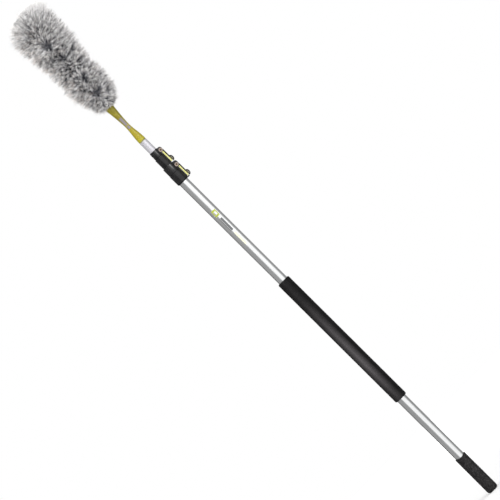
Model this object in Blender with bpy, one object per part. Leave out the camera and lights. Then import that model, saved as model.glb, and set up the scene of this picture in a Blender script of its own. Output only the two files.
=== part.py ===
"""Telescopic pole with two flip-lever clamps, a foam hand grip and a bendable fluffy duster head.

The pole stands along +Z with the duster on top, and the origin is the centre of the foam grip on the
pole's axis. The levers are on the +X side and turn about axes along Y. Sizes are in metres.
Run it with blender --background --python part.py, or from Blender's text editor.
"""

import math

import bmesh
import bpy
from mathutils import Matrix, Vector

MM = 0.001

# ---------------------------------------------------------------- clearances
GAP = 0.3 * MM  # between two faces that touch on the real object
TUBE_PLAY = 0.6 * MM  # radial play between one tube and the next
TURN_PLAY = 0.2 * MM  # radial play of a pin in the lever that turns on it
SIDE_PLAY = 0.4 * MM  # a lever between its ears, and a shoe in its window
THREAD_PLAY = 0.3 * MM  # radial play of the screw thread, and its play along the axis
BEND_PLAY = 1.2 * MM  # half of the gap between two wire sections at a bend

# ---------------------------------------------------------------- tubes
OUTER_TUBE_DIAMETER = 32.0 * MM
OUTER_TUBE_WALL = 1.2 * MM
MID_TUBE_WALL = 1.1 * MM
TIP_TUBE_WALL = 1.0 * MM
MID_TUBE_LENGTH = 1343.0 * MM
TIP_TUBE_LENGTH = 1361.0 * MM
BUSH_FLANGE = 8.0 * MM  # height of the sliding flange under each inner tube
BUSH_SPIGOT = 16.0 * MM  # height of the spigot inside the tube
BUSH_BORE_RADIUS = 8.0 * MM

# ---------------------------------------------------------------- grips
FOAM_LENGTH = 500.0 * MM
FOAM_WALL = 5.4 * MM
FOAM_CORNER = 3.0 * MM
BUTT_DEPTH = 640.5 * MM  # from the foam's centre down to the butt
END_GRIP_LENGTH = 144.0 * MM
END_GRIP_WALL = 2.9 * MM
END_GRIP_FLOOR = 6.0 * MM
END_GRIP_CORNER = 7.5 * MM
END_GRIP_SCOOP = 4.4 * MM  # how far the rim dips between its two horns
END_GRIP_RIM_ROUND = 1.2 * MM

# ---------------------------------------------------------------- clamps
LOWER_CLAMP_BASE = 670.5 * MM  # above the foam's centre
LOWER_SLEEVE_LENGTH = 38.8 * MM
LOWER_COLLAR_LENGTH = 28.7 * MM
LOWER_SLEEVE_WALL = 4.0 * MM
LOWER_COLLAR_WALL = 4.9 * MM
LOWER_PIVOT_HEIGHT = 13.1 * MM  # above the seam between sleeve and collar
LOWER_PIVOT_REACH = 8.1 * MM  # from the held tube's surface
LOWER_LEVER_REACH = 8.1 * MM  # from the pivot out to the cover's face
UPPER_SLEEVE_LENGTH = 36.6 * MM
UPPER_COLLAR_LENGTH = 24.5 * MM
UPPER_SLEEVE_WALL = 1.9 * MM
UPPER_COLLAR_WALL = 1.8 * MM
UPPER_PIVOT_HEIGHT = 12.0 * MM
UPPER_PIVOT_REACH = 6.9 * MM
UPPER_LEVER_REACH = 6.8 * MM
SLEEVE_CORNER = 5.0 * MM
UPPER_SLEEVE_CORNER = 1.2 * MM
COLLAR_CORNER = 1.0 * MM
SEAM_DEPTH = 0.6 * MM
SEAM_WIDTH = 1.2 * MM
TUBE_SHOULDER = 1.6 * MM  # ledge over the end of the tube that carries the clamp
EAR_THICKNESS = 3.0 * MM
EAR_DROP = 2.0 * MM  # the ears' top edge below the collar's top
EAR_CORNER = 7.0 * MM
LEVER_REST_HEIGHT = 3.6 * MM  # ledge at the lower clamp's foot, under the closed lever's end

# ---------------------------------------------------------------- levers
LEVER_WIDTH = 12.0 * MM
LEVER_CORE_LENGTH = 47.4 * MM  # from the pivot
LEVER_COVER_LENGTH = 49.4 * MM
LEVER_COVER_THICKNESS = 4.0 * MM
LEVER_COVER_TOP = 2.0 * MM  # the cover's upper end below the pivot
LEVER_BAR_TOP = 4.8 * MM  # thickness of the core's bar at the pivot
LEVER_BAR_END = 3.8 * MM  # and at its free end
CAM_THROW = 0.8 * MM
SHOE_THICKNESS = 1.6 * MM
LEVER_COVER_CORNER = 1.2 * MM
HOOK_HALF_WIDTH = 7.0 * MM  # the round finger hook at the cover's free end
HOOK_HALF_HEIGHT = 9.8 * MM
HOOK_SKIN = 3.0 * MM
HOOK_END = math.radians(-112.0)  # where the hook's curl stops, from straight out
HOOK_INSET = 0.8 * MM  # the hook's centre inside the cover's face
PIN_RADIUS = 2.0 * MM
PIN_HEAD_RADIUS = 6.2 * MM
PIN_HEAD_THICKNESS = 1.5 * MM
PIN_RECESS_RADIUS = 3.4 * MM
PIN_RECESS_DEPTH = 0.8 * MM
SCREW_RADIUS = 1.6 * MM
SCREW_HEAD_RADIUS = 3.0 * MM
SCREW_HEAD_THICKNESS = 1.4 * MM
SCREW_SLOT_WIDTH = 0.9 * MM
SCREW_SLOT_DEPTH = 0.6 * MM
SCREW_SEAT_DEPTH = 1.2 * MM  # the head's seat below the sleeve's face

# ---------------------------------------------------------------- threaded tip
TIP_SHOWN = 41.9 * MM  # tip tube above the upper clamp
INSERT_DEPTH = 30.0 * MM  # plug inside the tip tube
INSERT_WALL_PLAY = 0.3 * MM
FLANGE_THICKNESS = 1.2 * MM
THREAD_MAJOR_DIAMETER = 19.05 * MM  # 3/4 inch
THREAD_MINOR_DIAMETER = 13.9 * MM
THREAD_PITCH = 5.08 * MM  # 5 threads to the inch
THREAD_TURNS = 3
THREAD_CREST_SHARE = 0.36  # of the pitch
THREAD_FLANK_SHARE = 0.12
THREAD_NOSE = 1.2 * MM  # bevel on the male thread's end
GASKET_THICKNESS = 1.0 * MM
RIVET_RADIUS = 1.6 * MM
RIVET_HEAD_RADIUS = 3.0 * MM
RIVET_HEAD_THICKNESS = 0.9 * MM

# ---------------------------------------------------------------- duster socket
SOCKET_SKIRT_LENGTH = 35.6 * MM  # from the lip up to the shoulder
SOCKET_NECK_LENGTH = 31.0 * MM  # from the shoulder up to the narrowest place
SOCKET_FLARE_LENGTH = 84.0 * MM  # from the narrowest place up to the cup's rim
SOCKET_SHOULDER_DIAMETER = 19.5 * MM
SOCKET_NECK_DIAMETER = 14.6 * MM
SOCKET_CUP_DIAMETER = 30.5 * MM
SOCKET_CUP_DEPTH = 20.0 * MM
SOCKET_CUP_WALL = 3.2 * MM
SOCKET_LIP_ROUND = 1.0 * MM
SOCKET_SKIRT_POWER = 1.8  # how late the skirt tapers
SOCKET_FLARE_POWER = 1.35  # how late the neck flares into the cup
FERRULE_STAND = 8.0 * MM  # ferrule above the cup's rim
FERRULE_BEVEL = 1.5 * MM
WIRE_RADIUS = 3.2 * MM
WIRE_END_SHARE = 0.6  # radius at a bend over the full radius
WIRE_TAPER = 3.0 * MM  # length of the taper at a bend
WIRE_SEAT = 28.0 * MM  # wire inside the neck, below the cup's floor

# ---------------------------------------------------------------- duster pile
LOBE_HEIGHTS = (68.0 * MM, 81.0 * MM, 62.0 * MM, 61.0 * MM, 121.0 * MM)
LOBE_RADII = (66.0 * MM, 69.0 * MM, 70.0 * MM, 78.0 * MM, 83.0 * MM)
PILE_START_DROP = 11.0 * MM  # pile hangs this far below the cup's rim
PILE_SKIN = 2.0 * MM
PILE_BORE_PLAY = 1.5 * MM
BEND_LIMIT = math.radians(12.0)  # each bend's limit either way
BEND_SPARE = math.radians(1.0)  # room beyond the limit
LOBE_CORNER = 9.0 * MM
CUP_PLAY = 1.5 * MM  # between the cup's rim and the pile's foot
FOOT_LINE = ((0.62, 7.0 * MM), (0.84, 26.0 * MM))  # the foot's radius over the lobe's, by height
FOOT_FULL_SHARE = 0.75  # of the first lobe's height, where it is at its widest
DOME_START_SHARE = 0.55  # of the last lobe's height, where its dome starts
WIRE_TIP_DEPTH = 42.0 * MM  # wire's end below the top of the pile
WIRE_CAP_RADIUS = 5.5 * MM

# ---------------------------------------------------------------- facets
TUBE_FACETS = 40
GRIP_FACETS = 32
SOCKET_FACETS = 28
PILE_FACETS = 20
SMALL_FACETS = 20
SCOOP_FACETS = 48
SOCKET_STEPS = 14  # stretches of the socket's curved outline
ARC_STEP = math.radians(22.5)
DOME_STEP = math.radians(15.0)
SHARP_ANGLE = math.radians(32.0)

# ---------------------------------------------------------------- worked out
OUTER_R = OUTER_TUBE_DIAMETER / 2
OUTER_BORE_R = OUTER_R - OUTER_TUBE_WALL
MID_R = OUTER_BORE_R - TUBE_PLAY
MID_BORE_R = MID_R - MID_TUBE_WALL
TIP_R = MID_BORE_R - TUBE_PLAY
TIP_BORE_R = TIP_R - TIP_TUBE_WALL

BUTT_Z = -BUTT_DEPTH
OUTER_TUBE_BOTTOM = BUTT_Z + END_GRIP_FLOOR + GAP
LOWER_SEAM = LOWER_CLAMP_BASE + LOWER_SLEEVE_LENGTH
LOWER_CLAMP_TOP = LOWER_SEAM + LOWER_COLLAR_LENGTH
LEVER_HANG = max(LEVER_CORE_LENGTH, LEVER_COVER_LENGTH - EAR_DROP) + GAP  # below the upper pivot
LEVER_OVERHANG = LEVER_HANG - UPPER_PIVOT_HEIGHT - UPPER_SLEEVE_LENGTH  # and past its clamp's foot
UPPER_CLAMP_BASE = LOWER_CLAMP_TOP + max(GAP, LEVER_OVERHANG)
UPPER_SEAM = UPPER_CLAMP_BASE + UPPER_SLEEVE_LENGTH
UPPER_CLAMP_TOP = UPPER_SEAM + UPPER_COLLAR_LENGTH
OUTER_TUBE_TOP = LOWER_SEAM - TUBE_SHOULDER
MID_TUBE_TOP = UPPER_SEAM - TUBE_SHOULDER
MID_TUBE_BOTTOM = MID_TUBE_TOP - MID_TUBE_LENGTH
TIP_TUBE_TOP = UPPER_CLAMP_TOP + TIP_SHOWN
TIP_TUBE_BOTTOM = TIP_TUBE_TOP - TIP_TUBE_LENGTH

FLANGE_Z = TIP_TUBE_TOP + GAP
GASKET_Z = FLANGE_Z + FLANGE_THICKNESS + GAP
SOCKET_LIP_Z = GASKET_Z + GASKET_THICKNESS + GAP
SOCKET_SHOULDER_Z = SOCKET_LIP_Z + SOCKET_SKIRT_LENGTH
SOCKET_NECK_Z = SOCKET_SHOULDER_Z + SOCKET_NECK_LENGTH
SOCKET_RIM_Z = SOCKET_NECK_Z + SOCKET_FLARE_LENGTH
SOCKET_LIP_R = TIP_R
CUP_FLOOR_Z = SOCKET_RIM_Z - SOCKET_CUP_DEPTH
CUP_BORE_R = SOCKET_CUP_DIAMETER / 2 - SOCKET_CUP_WALL
THREAD_Z = FLANGE_Z + FLANGE_THICKNESS / 2
THREAD_TOP = THREAD_Z + THREAD_PITCH * (THREAD_TURNS + 0.5)

PILE_Z = SOCKET_RIM_Z - PILE_START_DROP
LOBE_EDGES = [PILE_Z + sum(LOBE_HEIGHTS[:i]) for i in range(len(LOBE_HEIGHTS) + 1)]
PILE_TOP = LOBE_EDGES[-1]
PILE_BORE_R = WIRE_RADIUS + PILE_BORE_PLAY
WIRE_BOTTOM = CUP_FLOOR_Z - WIRE_SEAT
WIRE_TOP = PILE_TOP - WIRE_TIP_DEPTH


# ---------------------------------------------------------------- materials
def material(name, colour, roughness, metallic=0.0):
    """A Principled BSDF of one colour."""
    made = bpy.data.materials.new(name)
    made.use_nodes = True
    shader = made.node_tree.nodes["Principled BSDF"]
    shader.inputs["Base Color"].default_value = (*colour, 1.0)
    shader.inputs["Roughness"].default_value = roughness
    shader.inputs["Metallic"].default_value = metallic
    made.diffuse_color = (*colour, 1.0)
    return made


def make_materials():
    """Every finish on the object, by name."""
    return {
        "tube": material("brushed aluminium tube", (0.78, 0.78, 0.80), 0.32, 1.0),
        "end_grip": material("charcoal grip plastic", (0.028, 0.026, 0.027), 0.6),
        "foam": material("black foam", (0.018, 0.018, 0.019), 0.9),
        "clamp": material("black clamp plastic", (0.013, 0.013, 0.015), 0.38),
        "lever": material("yellow lever plastic", (0.83, 0.80, 0.30), 0.35),
        "cover": material("black lever cover", (0.012, 0.012, 0.013), 0.45),
        "shoe": material("grey shoe plastic", (0.22, 0.22, 0.23), 0.5),
        "steel": material("bright steel", (0.66, 0.62, 0.57), 0.3, 1.0),
        "bush": material("white guide plastic", (0.75, 0.75, 0.73), 0.45),
        "insert": material("black threaded plastic", (0.02, 0.02, 0.02), 0.5),
        "gasket": material("olive gasket rubber", (0.16, 0.15, 0.06), 0.8),
        "socket": material("yellow green socket plastic", (0.60, 0.55, 0.05), 0.4),
        "wire": material("dark bendable wire", (0.08, 0.08, 0.09), 0.5, 0.8),
        "pile": material("grey microfibre pile", (0.60, 0.60, 0.62), 0.95),
    }


# ---------------------------------------------------------------- modelling tools
def finish_mesh(name, bm, finish):
    """Turns a bmesh into an object with its faces pointing out, smooth where it is round."""
    bmesh.ops.remove_doubles(bm, verts=bm.verts, dist=1e-7)
    bmesh.ops.recalc_face_normals(bm, faces=bm.faces)
    mesh = bpy.data.meshes.new(name)
    bm.to_mesh(mesh)
    bm.free()
    mesh.shade_smooth()
    mesh.set_sharp_from_angle(angle=SHARP_ANGLE)
    mesh.materials.append(finish)
    made = bpy.data.objects.new(name, mesh)
    bpy.context.scene.collection.objects.link(made)
    return made


def turned(name, profile, finish, facets=TUBE_FACETS):
    """A body turned about +Z from (radius, height) points. It is closed on the axis where its
    profile starts and ends at radius 0, and is otherwise a ring."""
    bm = bmesh.new()
    points = [bm.verts.new((radius, 0.0, height)) for radius, height in profile]
    edges = [bm.edges.new(pair) for pair in zip(points, points[1:])]
    if profile[0][0] > 0.0:
        edges.append(bm.edges.new((points[-1], points[0])))
    bmesh.ops.spin(
        bm,
        geom=points + edges,
        cent=(0.0, 0.0, 0.0),
        axis=(0.0, 0.0, 1.0),
        angle=2 * math.pi,
        steps=facets,
        use_merge=True,
    )
    return finish_mesh(name, bm, finish)


def prism(name, outline, low, high, finish, axis="Y"):
    """A flat outline stretched along an axis from low to high. The outline holds (x, z) points
    for Y, and (x, y) points for Z."""
    bm = bmesh.new()
    place = (lambda a, b: (a, low, b)) if axis == "Y" else (lambda a, b: (a, b, low))
    face = bm.faces.new([bm.verts.new(place(a, b)) for a, b in outline])
    moved = bmesh.ops.extrude_face_region(bm, geom=[face])["geom"]
    step = Vector((0, high - low, 0)) if axis == "Y" else Vector((0, 0, high - low))
    tops = [part for part in moved if isinstance(part, bmesh.types.BMVert)]
    bmesh.ops.translate(bm, verts=tops, vec=step)
    return finish_mesh(name, bm, finish)


def rod(name, radius, start, direction, length, finish, facets=SMALL_FACETS):
    """A plain round rod from a start point along a direction."""
    bm = bmesh.new()
    bmesh.ops.create_cone(
        bm,
        cap_ends=True,
        segments=facets,
        radius1=radius,
        radius2=radius,
        depth=length,
    )
    way = Vector(direction).normalized()
    turn = Vector((0, 0, 1)).rotation_difference(way).to_matrix().to_4x4()
    middle = Vector(start) + way * length / 2
    bmesh.ops.transform(bm, matrix=Matrix.Translation(middle) @ turn, verts=bm.verts)
    return finish_mesh(name, bm, finish)


def block(name, low, high, finish):
    """A box between two corners."""
    outline = [(low[0], low[2]), (high[0], low[2]), (high[0], high[2]), (low[0], high[2])]
    return prism(name, outline, low[1], high[1], finish)


def arc(centre, radius, start, end, radius_up=None, step=ARC_STEP):
    """Points along an arc of a circle, or of an ellipse where radius_up is given."""
    count = max(2, math.ceil(abs(end - start) / step - 1e-6))
    high = radius if radius_up is None else radius_up
    angles = [start + (end - start) * i / count for i in range(count + 1)]
    return [
        (centre[0] + radius * math.cos(a), centre[1] + high * math.sin(a)) for a in angles
    ]


def combine(target, tool, operation):
    """A Boolean that keeps its tool as a hidden wire guide."""
    tool.hide_render = True
    tool.display_type = "WIRE"
    change = target.modifiers.new(f"{operation.lower()} {tool.name}", "BOOLEAN")
    change.operation = operation
    change.solver = "EXACT"
    change.object = tool
    tool.data.materials.clear()
    return target


def cut(target, tool):
    return combine(target, tool, "DIFFERENCE")


def join(target, tool):
    return combine(target, tool, "UNION")


def joint_empty(name, place, parent=None):
    """An empty on a joint's axis, which carries the pieces that move together."""
    made = bpy.data.objects.new(name, None)
    made.empty_display_size = 0.02
    bpy.context.scene.collection.objects.link(made)
    made.parent = parent
    made.location = Vector(place) - (parent.matrix_world.translation if parent else Vector())
    bpy.context.view_layer.update()
    return made


def attach(carrier, *pieces):
    """Hangs pieces, and the tools that shape them, on a carrier, with their origins at its place.
    A tool that two pieces share goes with the first of them."""
    for piece in pieces:
        tools = [m.object for m in piece.modifiers if m.type == "BOOLEAN"]
        for part in (piece, *tools):
            if part.parent is None:
                part.data.transform(Matrix.Translation(-carrier.matrix_world.translation))
                part.parent = carrier


# ---------------------------------------------------------------- pole
def make_tube(name, radius, wall, low, high, finish):
    """A plain round tube."""
    inside = radius - wall
    return turned(name, [(radius, high), (radius, low), (inside, low), (inside, high)], finish)


def make_foam_grip(finish):
    """A soft sleeve on the outer tube, with rounded ends."""
    bore = OUTER_R + GAP
    outside = OUTER_R + FOAM_WALL
    top = FOAM_LENGTH / 2
    core = outside - FOAM_CORNER
    profile = arc((core, top - FOAM_CORNER), FOAM_CORNER, math.pi / 2, 0)
    profile += arc((core, FOAM_CORNER - top), FOAM_CORNER, 0, -math.pi / 2)
    profile += [(bore, -top), (bore, top)]
    return turned("foam_grip", profile, finish, GRIP_FACETS)


def make_end_grip(finish):
    """The closed cap on the pole's butt, with a rim that dips at the front and the back."""
    bore = OUTER_R + GAP
    outside = OUTER_R + END_GRIP_WALL
    top = BUTT_Z + END_GRIP_LENGTH
    flat = outside - END_GRIP_CORNER
    profile = [(0.0, BUTT_Z + END_GRIP_FLOOR), (bore, BUTT_Z + END_GRIP_FLOOR), (bore, top)]
    rim = END_GRIP_RIM_ROUND
    profile += arc((outside - rim, top - rim), rim, math.pi / 2, 0)
    profile += arc((flat, BUTT_Z + END_GRIP_CORNER), END_GRIP_CORNER, 0, -math.pi / 2)
    profile += [(0.0, BUTT_Z)]
    grip = turned("end_grip", profile, finish, GRIP_FACETS)
    scoop_radius = (outside**2 + END_GRIP_SCOOP**2) / (2 * END_GRIP_SCOOP)
    centre = (0.0, -outside * 2, top - END_GRIP_SCOOP + scoop_radius)
    scoop = rod("end_grip_scoop", scoop_radius, centre, (0, 1, 0), outside * 4, finish,
                SCOOP_FACETS)
    return cut(grip, scoop)


def make_bush(name, guide_bore, tube_bore, tube_bottom, finish):
    """The ring that guides an inner tube's lower end: a flange under the tube and a spigot in it."""
    flange = guide_bore - GAP
    spigot = tube_bore - GAP
    top = tube_bottom - GAP
    profile = [
        (BUSH_BORE_RADIUS, top + BUSH_SPIGOT),
        (spigot, top + BUSH_SPIGOT),
        (spigot, top),
        (flange, top),
        (flange, top - BUSH_FLANGE),
        (BUSH_BORE_RADIUS, top - BUSH_FLANGE),
    ]
    return turned(name, profile, finish)


# ---------------------------------------------------------------- clamps
def clamp_shell(side, base, seam, top, sleeve_r, collar_r, corner, tube_r, held_r, finish):
    """The turned body of a clamp: a sleeve on the tube that carries it, a ledge over that tube's
    end, and a narrower collar around the tube that slides through."""
    sleeve_bore = tube_r + GAP
    collar_bore = held_r + GAP
    ledge = seam - TUBE_SHOULDER + GAP
    groove = min(sleeve_r, collar_r) - SEAM_DEPTH
    round_top = (collar_r - COLLAR_CORNER, top - COLLAR_CORNER)
    round_foot = (sleeve_r - corner, base + corner)
    profile = arc(round_top, COLLAR_CORNER, math.pi / 2, 0, step=math.radians(45))
    profile += [(collar_r, seam + SEAM_WIDTH / 2), (groove, seam), (sleeve_r, seam - SEAM_WIDTH / 2)]
    profile += arc(round_foot, corner, 0, -math.pi / 2)
    profile += [(sleeve_bore, base), (sleeve_bore, ledge), (collar_bore, ledge), (collar_bore, top)]
    return turned(f"{side}_clamp_body", profile, finish)


def ear_outline(pivot, root, reach, top):
    """One ear seen from the side: square to the collar, round below the pin, cornered above it."""
    outer = pivot[0] + reach - GAP
    lower = arc(pivot, reach - GAP, -math.pi / 2, 0)
    upper = arc((outer - EAR_CORNER, top - EAR_CORNER), EAR_CORNER, 0, math.pi / 2)
    return [(root, pivot[1] - reach + GAP), *lower, *upper, (root, top)]


def make_lever_rest(base, tube_r, sleeve_r, pivot, lever_reach, finish):
    """The ledge at the clamp's foot that shields the closed lever's free end. Where the lever ends
    too low for the sleeve to carry the ledge, a rib along the tube reaches down to it."""
    half = LEVER_WIDTH / 2
    inner = tube_r + 2 * GAP
    reach = pivot[0] + lever_reach - LEVER_COVER_THICKNESS
    top = min(base + LEVER_REST_HEIGHT, pivot[1] - LEVER_CORE_LENGTH - GAP)
    bottom = min(base, top - LEVER_REST_HEIGHT) + GAP
    ledge = block("lower_lever_rest", (inner, -half, bottom), (reach, half, top), finish)
    if bottom < base:
        rib_top = (sleeve_r, half, base + SLEEVE_CORNER)
        join(ledge, block("lower_rest_rib", (inner, -half, bottom), rib_top, finish))
    return ledge


def make_lever_bed(side, base, seam, corner, tube_r, held_r, pivot, window, lever_reach, finish):
    """The raised strip on the clamp's face that the closed lever lies along."""
    half = LEVER_WIDTH / 2 - SIDE_PLAY
    face = pivot[0] + lever_reach - LEVER_COVER_THICKNESS
    low = max(base + corner, pivot[1] - LEVER_CORE_LENGTH)
    high = pivot[1] - window - GAP
    on_tube, on_held = tube_r + 2 * GAP, held_r + 2 * GAP
    outline = [(on_tube, low), (face - LEVER_BAR_END - GAP, low), (face - LEVER_BAR_TOP - GAP, high)]
    outline += [(on_held, high), (on_held, seam), (on_tube, seam)]
    return prism(f"{side}_lever_bed", outline, -half, half, finish)


def make_lever(side, pivot, reach, cam_reach, finishes):
    """The yellow core with its cam eye, and the black cover on its outer face."""
    face = reach - LEVER_COVER_THICKNESS
    cam = cam_reach - CAM_THROW
    half = LEVER_WIDTH / 2
    x, z = pivot
    inner_top = face - LEVER_BAR_TOP
    inner_end = face - LEVER_BAR_END
    meets = math.asin((inner_top + CAM_THROW) / cam) - math.pi / 2
    hook = (reach - HOOK_INSET, HOOK_HALF_HEIGHT - LEVER_COVER_LENGTH)

    outline = arc((-CAM_THROW, 0.0), cam, 0, 2 * math.pi + meets)
    outline += [(inner_end, -LEVER_CORE_LENGTH), (face, -LEVER_CORE_LENGTH)]
    bump = HOOK_HALF_WIDTH - HOOK_SKIN - GAP
    bump_up = HOOK_HALF_HEIGHT - HOOK_SKIN - GAP
    bump_turn = math.acos(max(-1.0, (face - hook[0]) / bump))
    outline += arc(hook, bump, -bump_turn, bump_turn, bump_up)
    core = prism(
        f"{side}_lever_core", [(x + a, z + b) for a, b in outline], -half, half, finishes["lever"]
    )
    hole = rod(
        f"{side}_lever_hole", PIN_RADIUS + TURN_PLAY, (x, -half * 2, z), (0, 1, 0), half * 4,
        finishes["lever"],
    )
    cut(core, hole)

    back = face + GAP
    leaves = math.acos(HOOK_INSET / HOOK_HALF_WIDTH)
    inner_width = HOOK_HALF_WIDTH - HOOK_SKIN
    joins = math.acos(min(1.0, max(-1.0, (back - hook[0]) / inner_width)))
    corner = LEVER_COVER_CORNER
    cover_line = [(back, -LEVER_COVER_TOP), (reach - corner, -LEVER_COVER_TOP)]
    cover_line += [(reach, -LEVER_COVER_TOP - corner)]
    cover_line += arc(hook, HOOK_HALF_WIDTH, leaves, HOOK_END, HOOK_HALF_HEIGHT)
    cover_line += arc(hook, inner_width, HOOK_END, joins, HOOK_HALF_HEIGHT - HOOK_SKIN)
    cover = prism(
        f"{side}_lever_cover",
        [(x + a, z + b) for a, b in cover_line],
        -half,
        half,
        finishes["cover"],
    )
    return core, cover


def make_pin(side, pivot, ear_face, finish):
    """A headed rivet pin along Y and the washer that holds its far end."""
    x, z = pivot
    front = -ear_face - GAP
    back = ear_face + GAP + PIN_HEAD_THICKNESS
    shaft = rod(f"{side}_lever_pin", PIN_RADIUS, (x, front, z), (0, 1, 0), back - front + GAP, finish)
    head = rod(
        f"{side}_pin_head", PIN_HEAD_RADIUS, (x, front, z), (0, -1, 0), PIN_HEAD_THICKNESS, finish
    )
    recess = rod(
        f"{side}_pin_recess",
        PIN_RECESS_RADIUS,
        (x, front - PIN_HEAD_THICKNESS + PIN_RECESS_DEPTH, z),
        (0, -1, 0),
        PIN_HEAD_THICKNESS,
        finish,
    )
    join(shaft, head)
    cut(shaft, recess)
    ring = rod(
        f"{side}_pin_washer",
        PIN_HEAD_RADIUS,
        (x, ear_face + GAP, z),
        (0, 1, 0),
        PIN_HEAD_THICKNESS,
        finish,
    )
    eye = rod(
        f"{side}_washer_eye",
        PIN_RADIUS + GAP,
        (x, ear_face, z),
        (0, 1, 0),
        PIN_HEAD_THICKNESS * 3,
        finish,
    )
    cut(ring, eye)
    return shaft, ring


def make_shoe(side, held_r, pivot_z, height, finish):
    """The saddle that the cam presses on the sliding tube."""
    half = LEVER_WIDTH / 2
    low = (math.sqrt(held_r**2 - half**2), -half, pivot_z - height / 2)
    high = (held_r + GAP + SHOE_THICKNESS, half, pivot_z + height / 2)
    shoe = block(f"{side}_clamp_shoe", low, high, finish)
    saddle = rod(
        f"{side}_shoe_saddle",
        held_r + GAP,
        (0, 0, pivot_z - height),
        (0, 0, 1),
        height * 2,
        finish,
        TUBE_FACETS,
    )
    return cut(shoe, saddle)


def make_clamp_screw(side, height, tube_r, tube_bore_r, sleeve_r, finish):
    """The screw at the back that fixes a clamp to its tube. It ends flush in the tube's wall."""
    seat = sleeve_r - SCREW_SEAT_DEPTH
    start = tube_bore_r + GAP
    screw = rod(
        f"{side}_clamp_screw", SCREW_RADIUS, (0, start, height), (0, 1, 0), seat - start + GAP,
        finish,
    )
    head = rod(
        f"{side}_screw_head",
        SCREW_HEAD_RADIUS,
        (0, seat, height),
        (0, 1, 0),
        SCREW_HEAD_THICKNESS,
        finish,
    )
    top = seat + SCREW_HEAD_THICKNESS
    across = SCREW_HEAD_RADIUS * 2
    slot_low = (-across, top - SCREW_SLOT_DEPTH, height - SCREW_SLOT_WIDTH / 2)
    slot_high = (across, top + SCREW_SLOT_DEPTH, height + SCREW_SLOT_WIDTH / 2)
    slot = block(f"{side}_screw_slot", slot_low, slot_high, finish)
    join(screw, head)
    cut(screw, slot)
    return screw, seat


def screw_hole(name, height, seat, finish):
    """The hole for a clamp screw, wider from its seat outwards for the head."""
    hole = rod(name, SCREW_RADIUS + GAP, (0, 0, height), (0, 1, 0), seat * 2, finish)
    wide = rod(
        f"{name}_sink",
        SCREW_HEAD_RADIUS + GAP,
        (0, seat - GAP, height),
        (0, 1, 0),
        seat,
        finish,
    )
    return hole, wide


def make_clamp(side, base, seam, top, pivot_height, pivot_reach, lever_reach, walls, corner,
               tube, carrying_tube, held_r, finishes):
    """Every piece of one flip-lever clamp. The carrying tube gets the screw's hole."""
    sleeve_wall, collar_wall = walls
    tube_r, tube_bore_r = tube
    sleeve_r = tube_r + sleeve_wall
    collar_r = held_r + collar_wall
    pivot = (held_r + pivot_reach, seam + pivot_height)
    gap_half = LEVER_WIDTH / 2 + SIDE_PLAY
    ear_face = gap_half + EAR_THICKNESS
    cam_reach = pivot_reach - 2 * GAP - SHOE_THICKNESS
    window = cam_reach + CAM_THROW
    black = finishes["clamp"]

    body = clamp_shell(side, base, seam, top, sleeve_r, collar_r, corner, tube_r, held_r, black)
    bore_r = held_r + GAP
    root = math.sqrt(bore_r**2 - gap_half**2) + GAP
    outline = ear_outline(pivot, root, lever_reach, top - EAR_DROP)
    for mark, low, high in (("front", -ear_face, -gap_half), ("back", gap_half, ear_face)):
        join(body, prism(f"{side}_{mark}_ear", outline, low, high, black))
    join(body, make_lever_bed(side, base, seam, corner, tube_r, held_r, pivot, window, lever_reach,
                              black))
    if side == "lower":
        join(body, make_lever_rest(base, tube_r, sleeve_r, pivot, lever_reach, black))
    window_low = (bore_r / 2, -gap_half + GAP / 2, pivot[1] - window)
    window_high = (collar_r * 2, gap_half - GAP / 2, pivot[1] + window)
    cut(body, block(f"{side}_shoe_window", window_low, window_high, black))
    pin_hole = rod(f"{side}_pin_hole", PIN_RADIUS + GAP, (pivot[0], -ear_face * 2, pivot[1]),
                   (0, 1, 0), ear_face * 4, black)
    cut(body, pin_hole)
    for mark, way in (("front", -1), ("back", 1)):
        start = (pivot[0], way * (ear_face + GAP / 2), pivot[1])
        face = rod(f"{side}_{mark}_spot_face", PIN_HEAD_RADIUS + GAP, start, (0, way, 0), ear_face,
                   black)
        cut(body, face)

    screw_z = (base + seam) / 2
    screw, seat = make_clamp_screw(side, screw_z, tube_r, tube_bore_r, sleeve_r, finishes["steel"])
    hole, wide = screw_hole(f"{side}_screw_hole", screw_z, seat, black)
    cut(body, hole)
    cut(body, wide)
    cut(carrying_tube, hole)

    core, cover = make_lever(side, pivot, lever_reach, cam_reach, finishes)
    pin, washer = make_pin(side, pivot, ear_face, finishes["steel"])
    shoe = make_shoe(side, held_r, pivot[1], 2 * (window - GAP), finishes["shoe"])
    return {
        "fixed": (body, screw, pin, washer),
        "lever": (core, cover),
        "shoe": shoe,
        "pivot": (pivot[0], 0.0, pivot[1]),
    }


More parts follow.
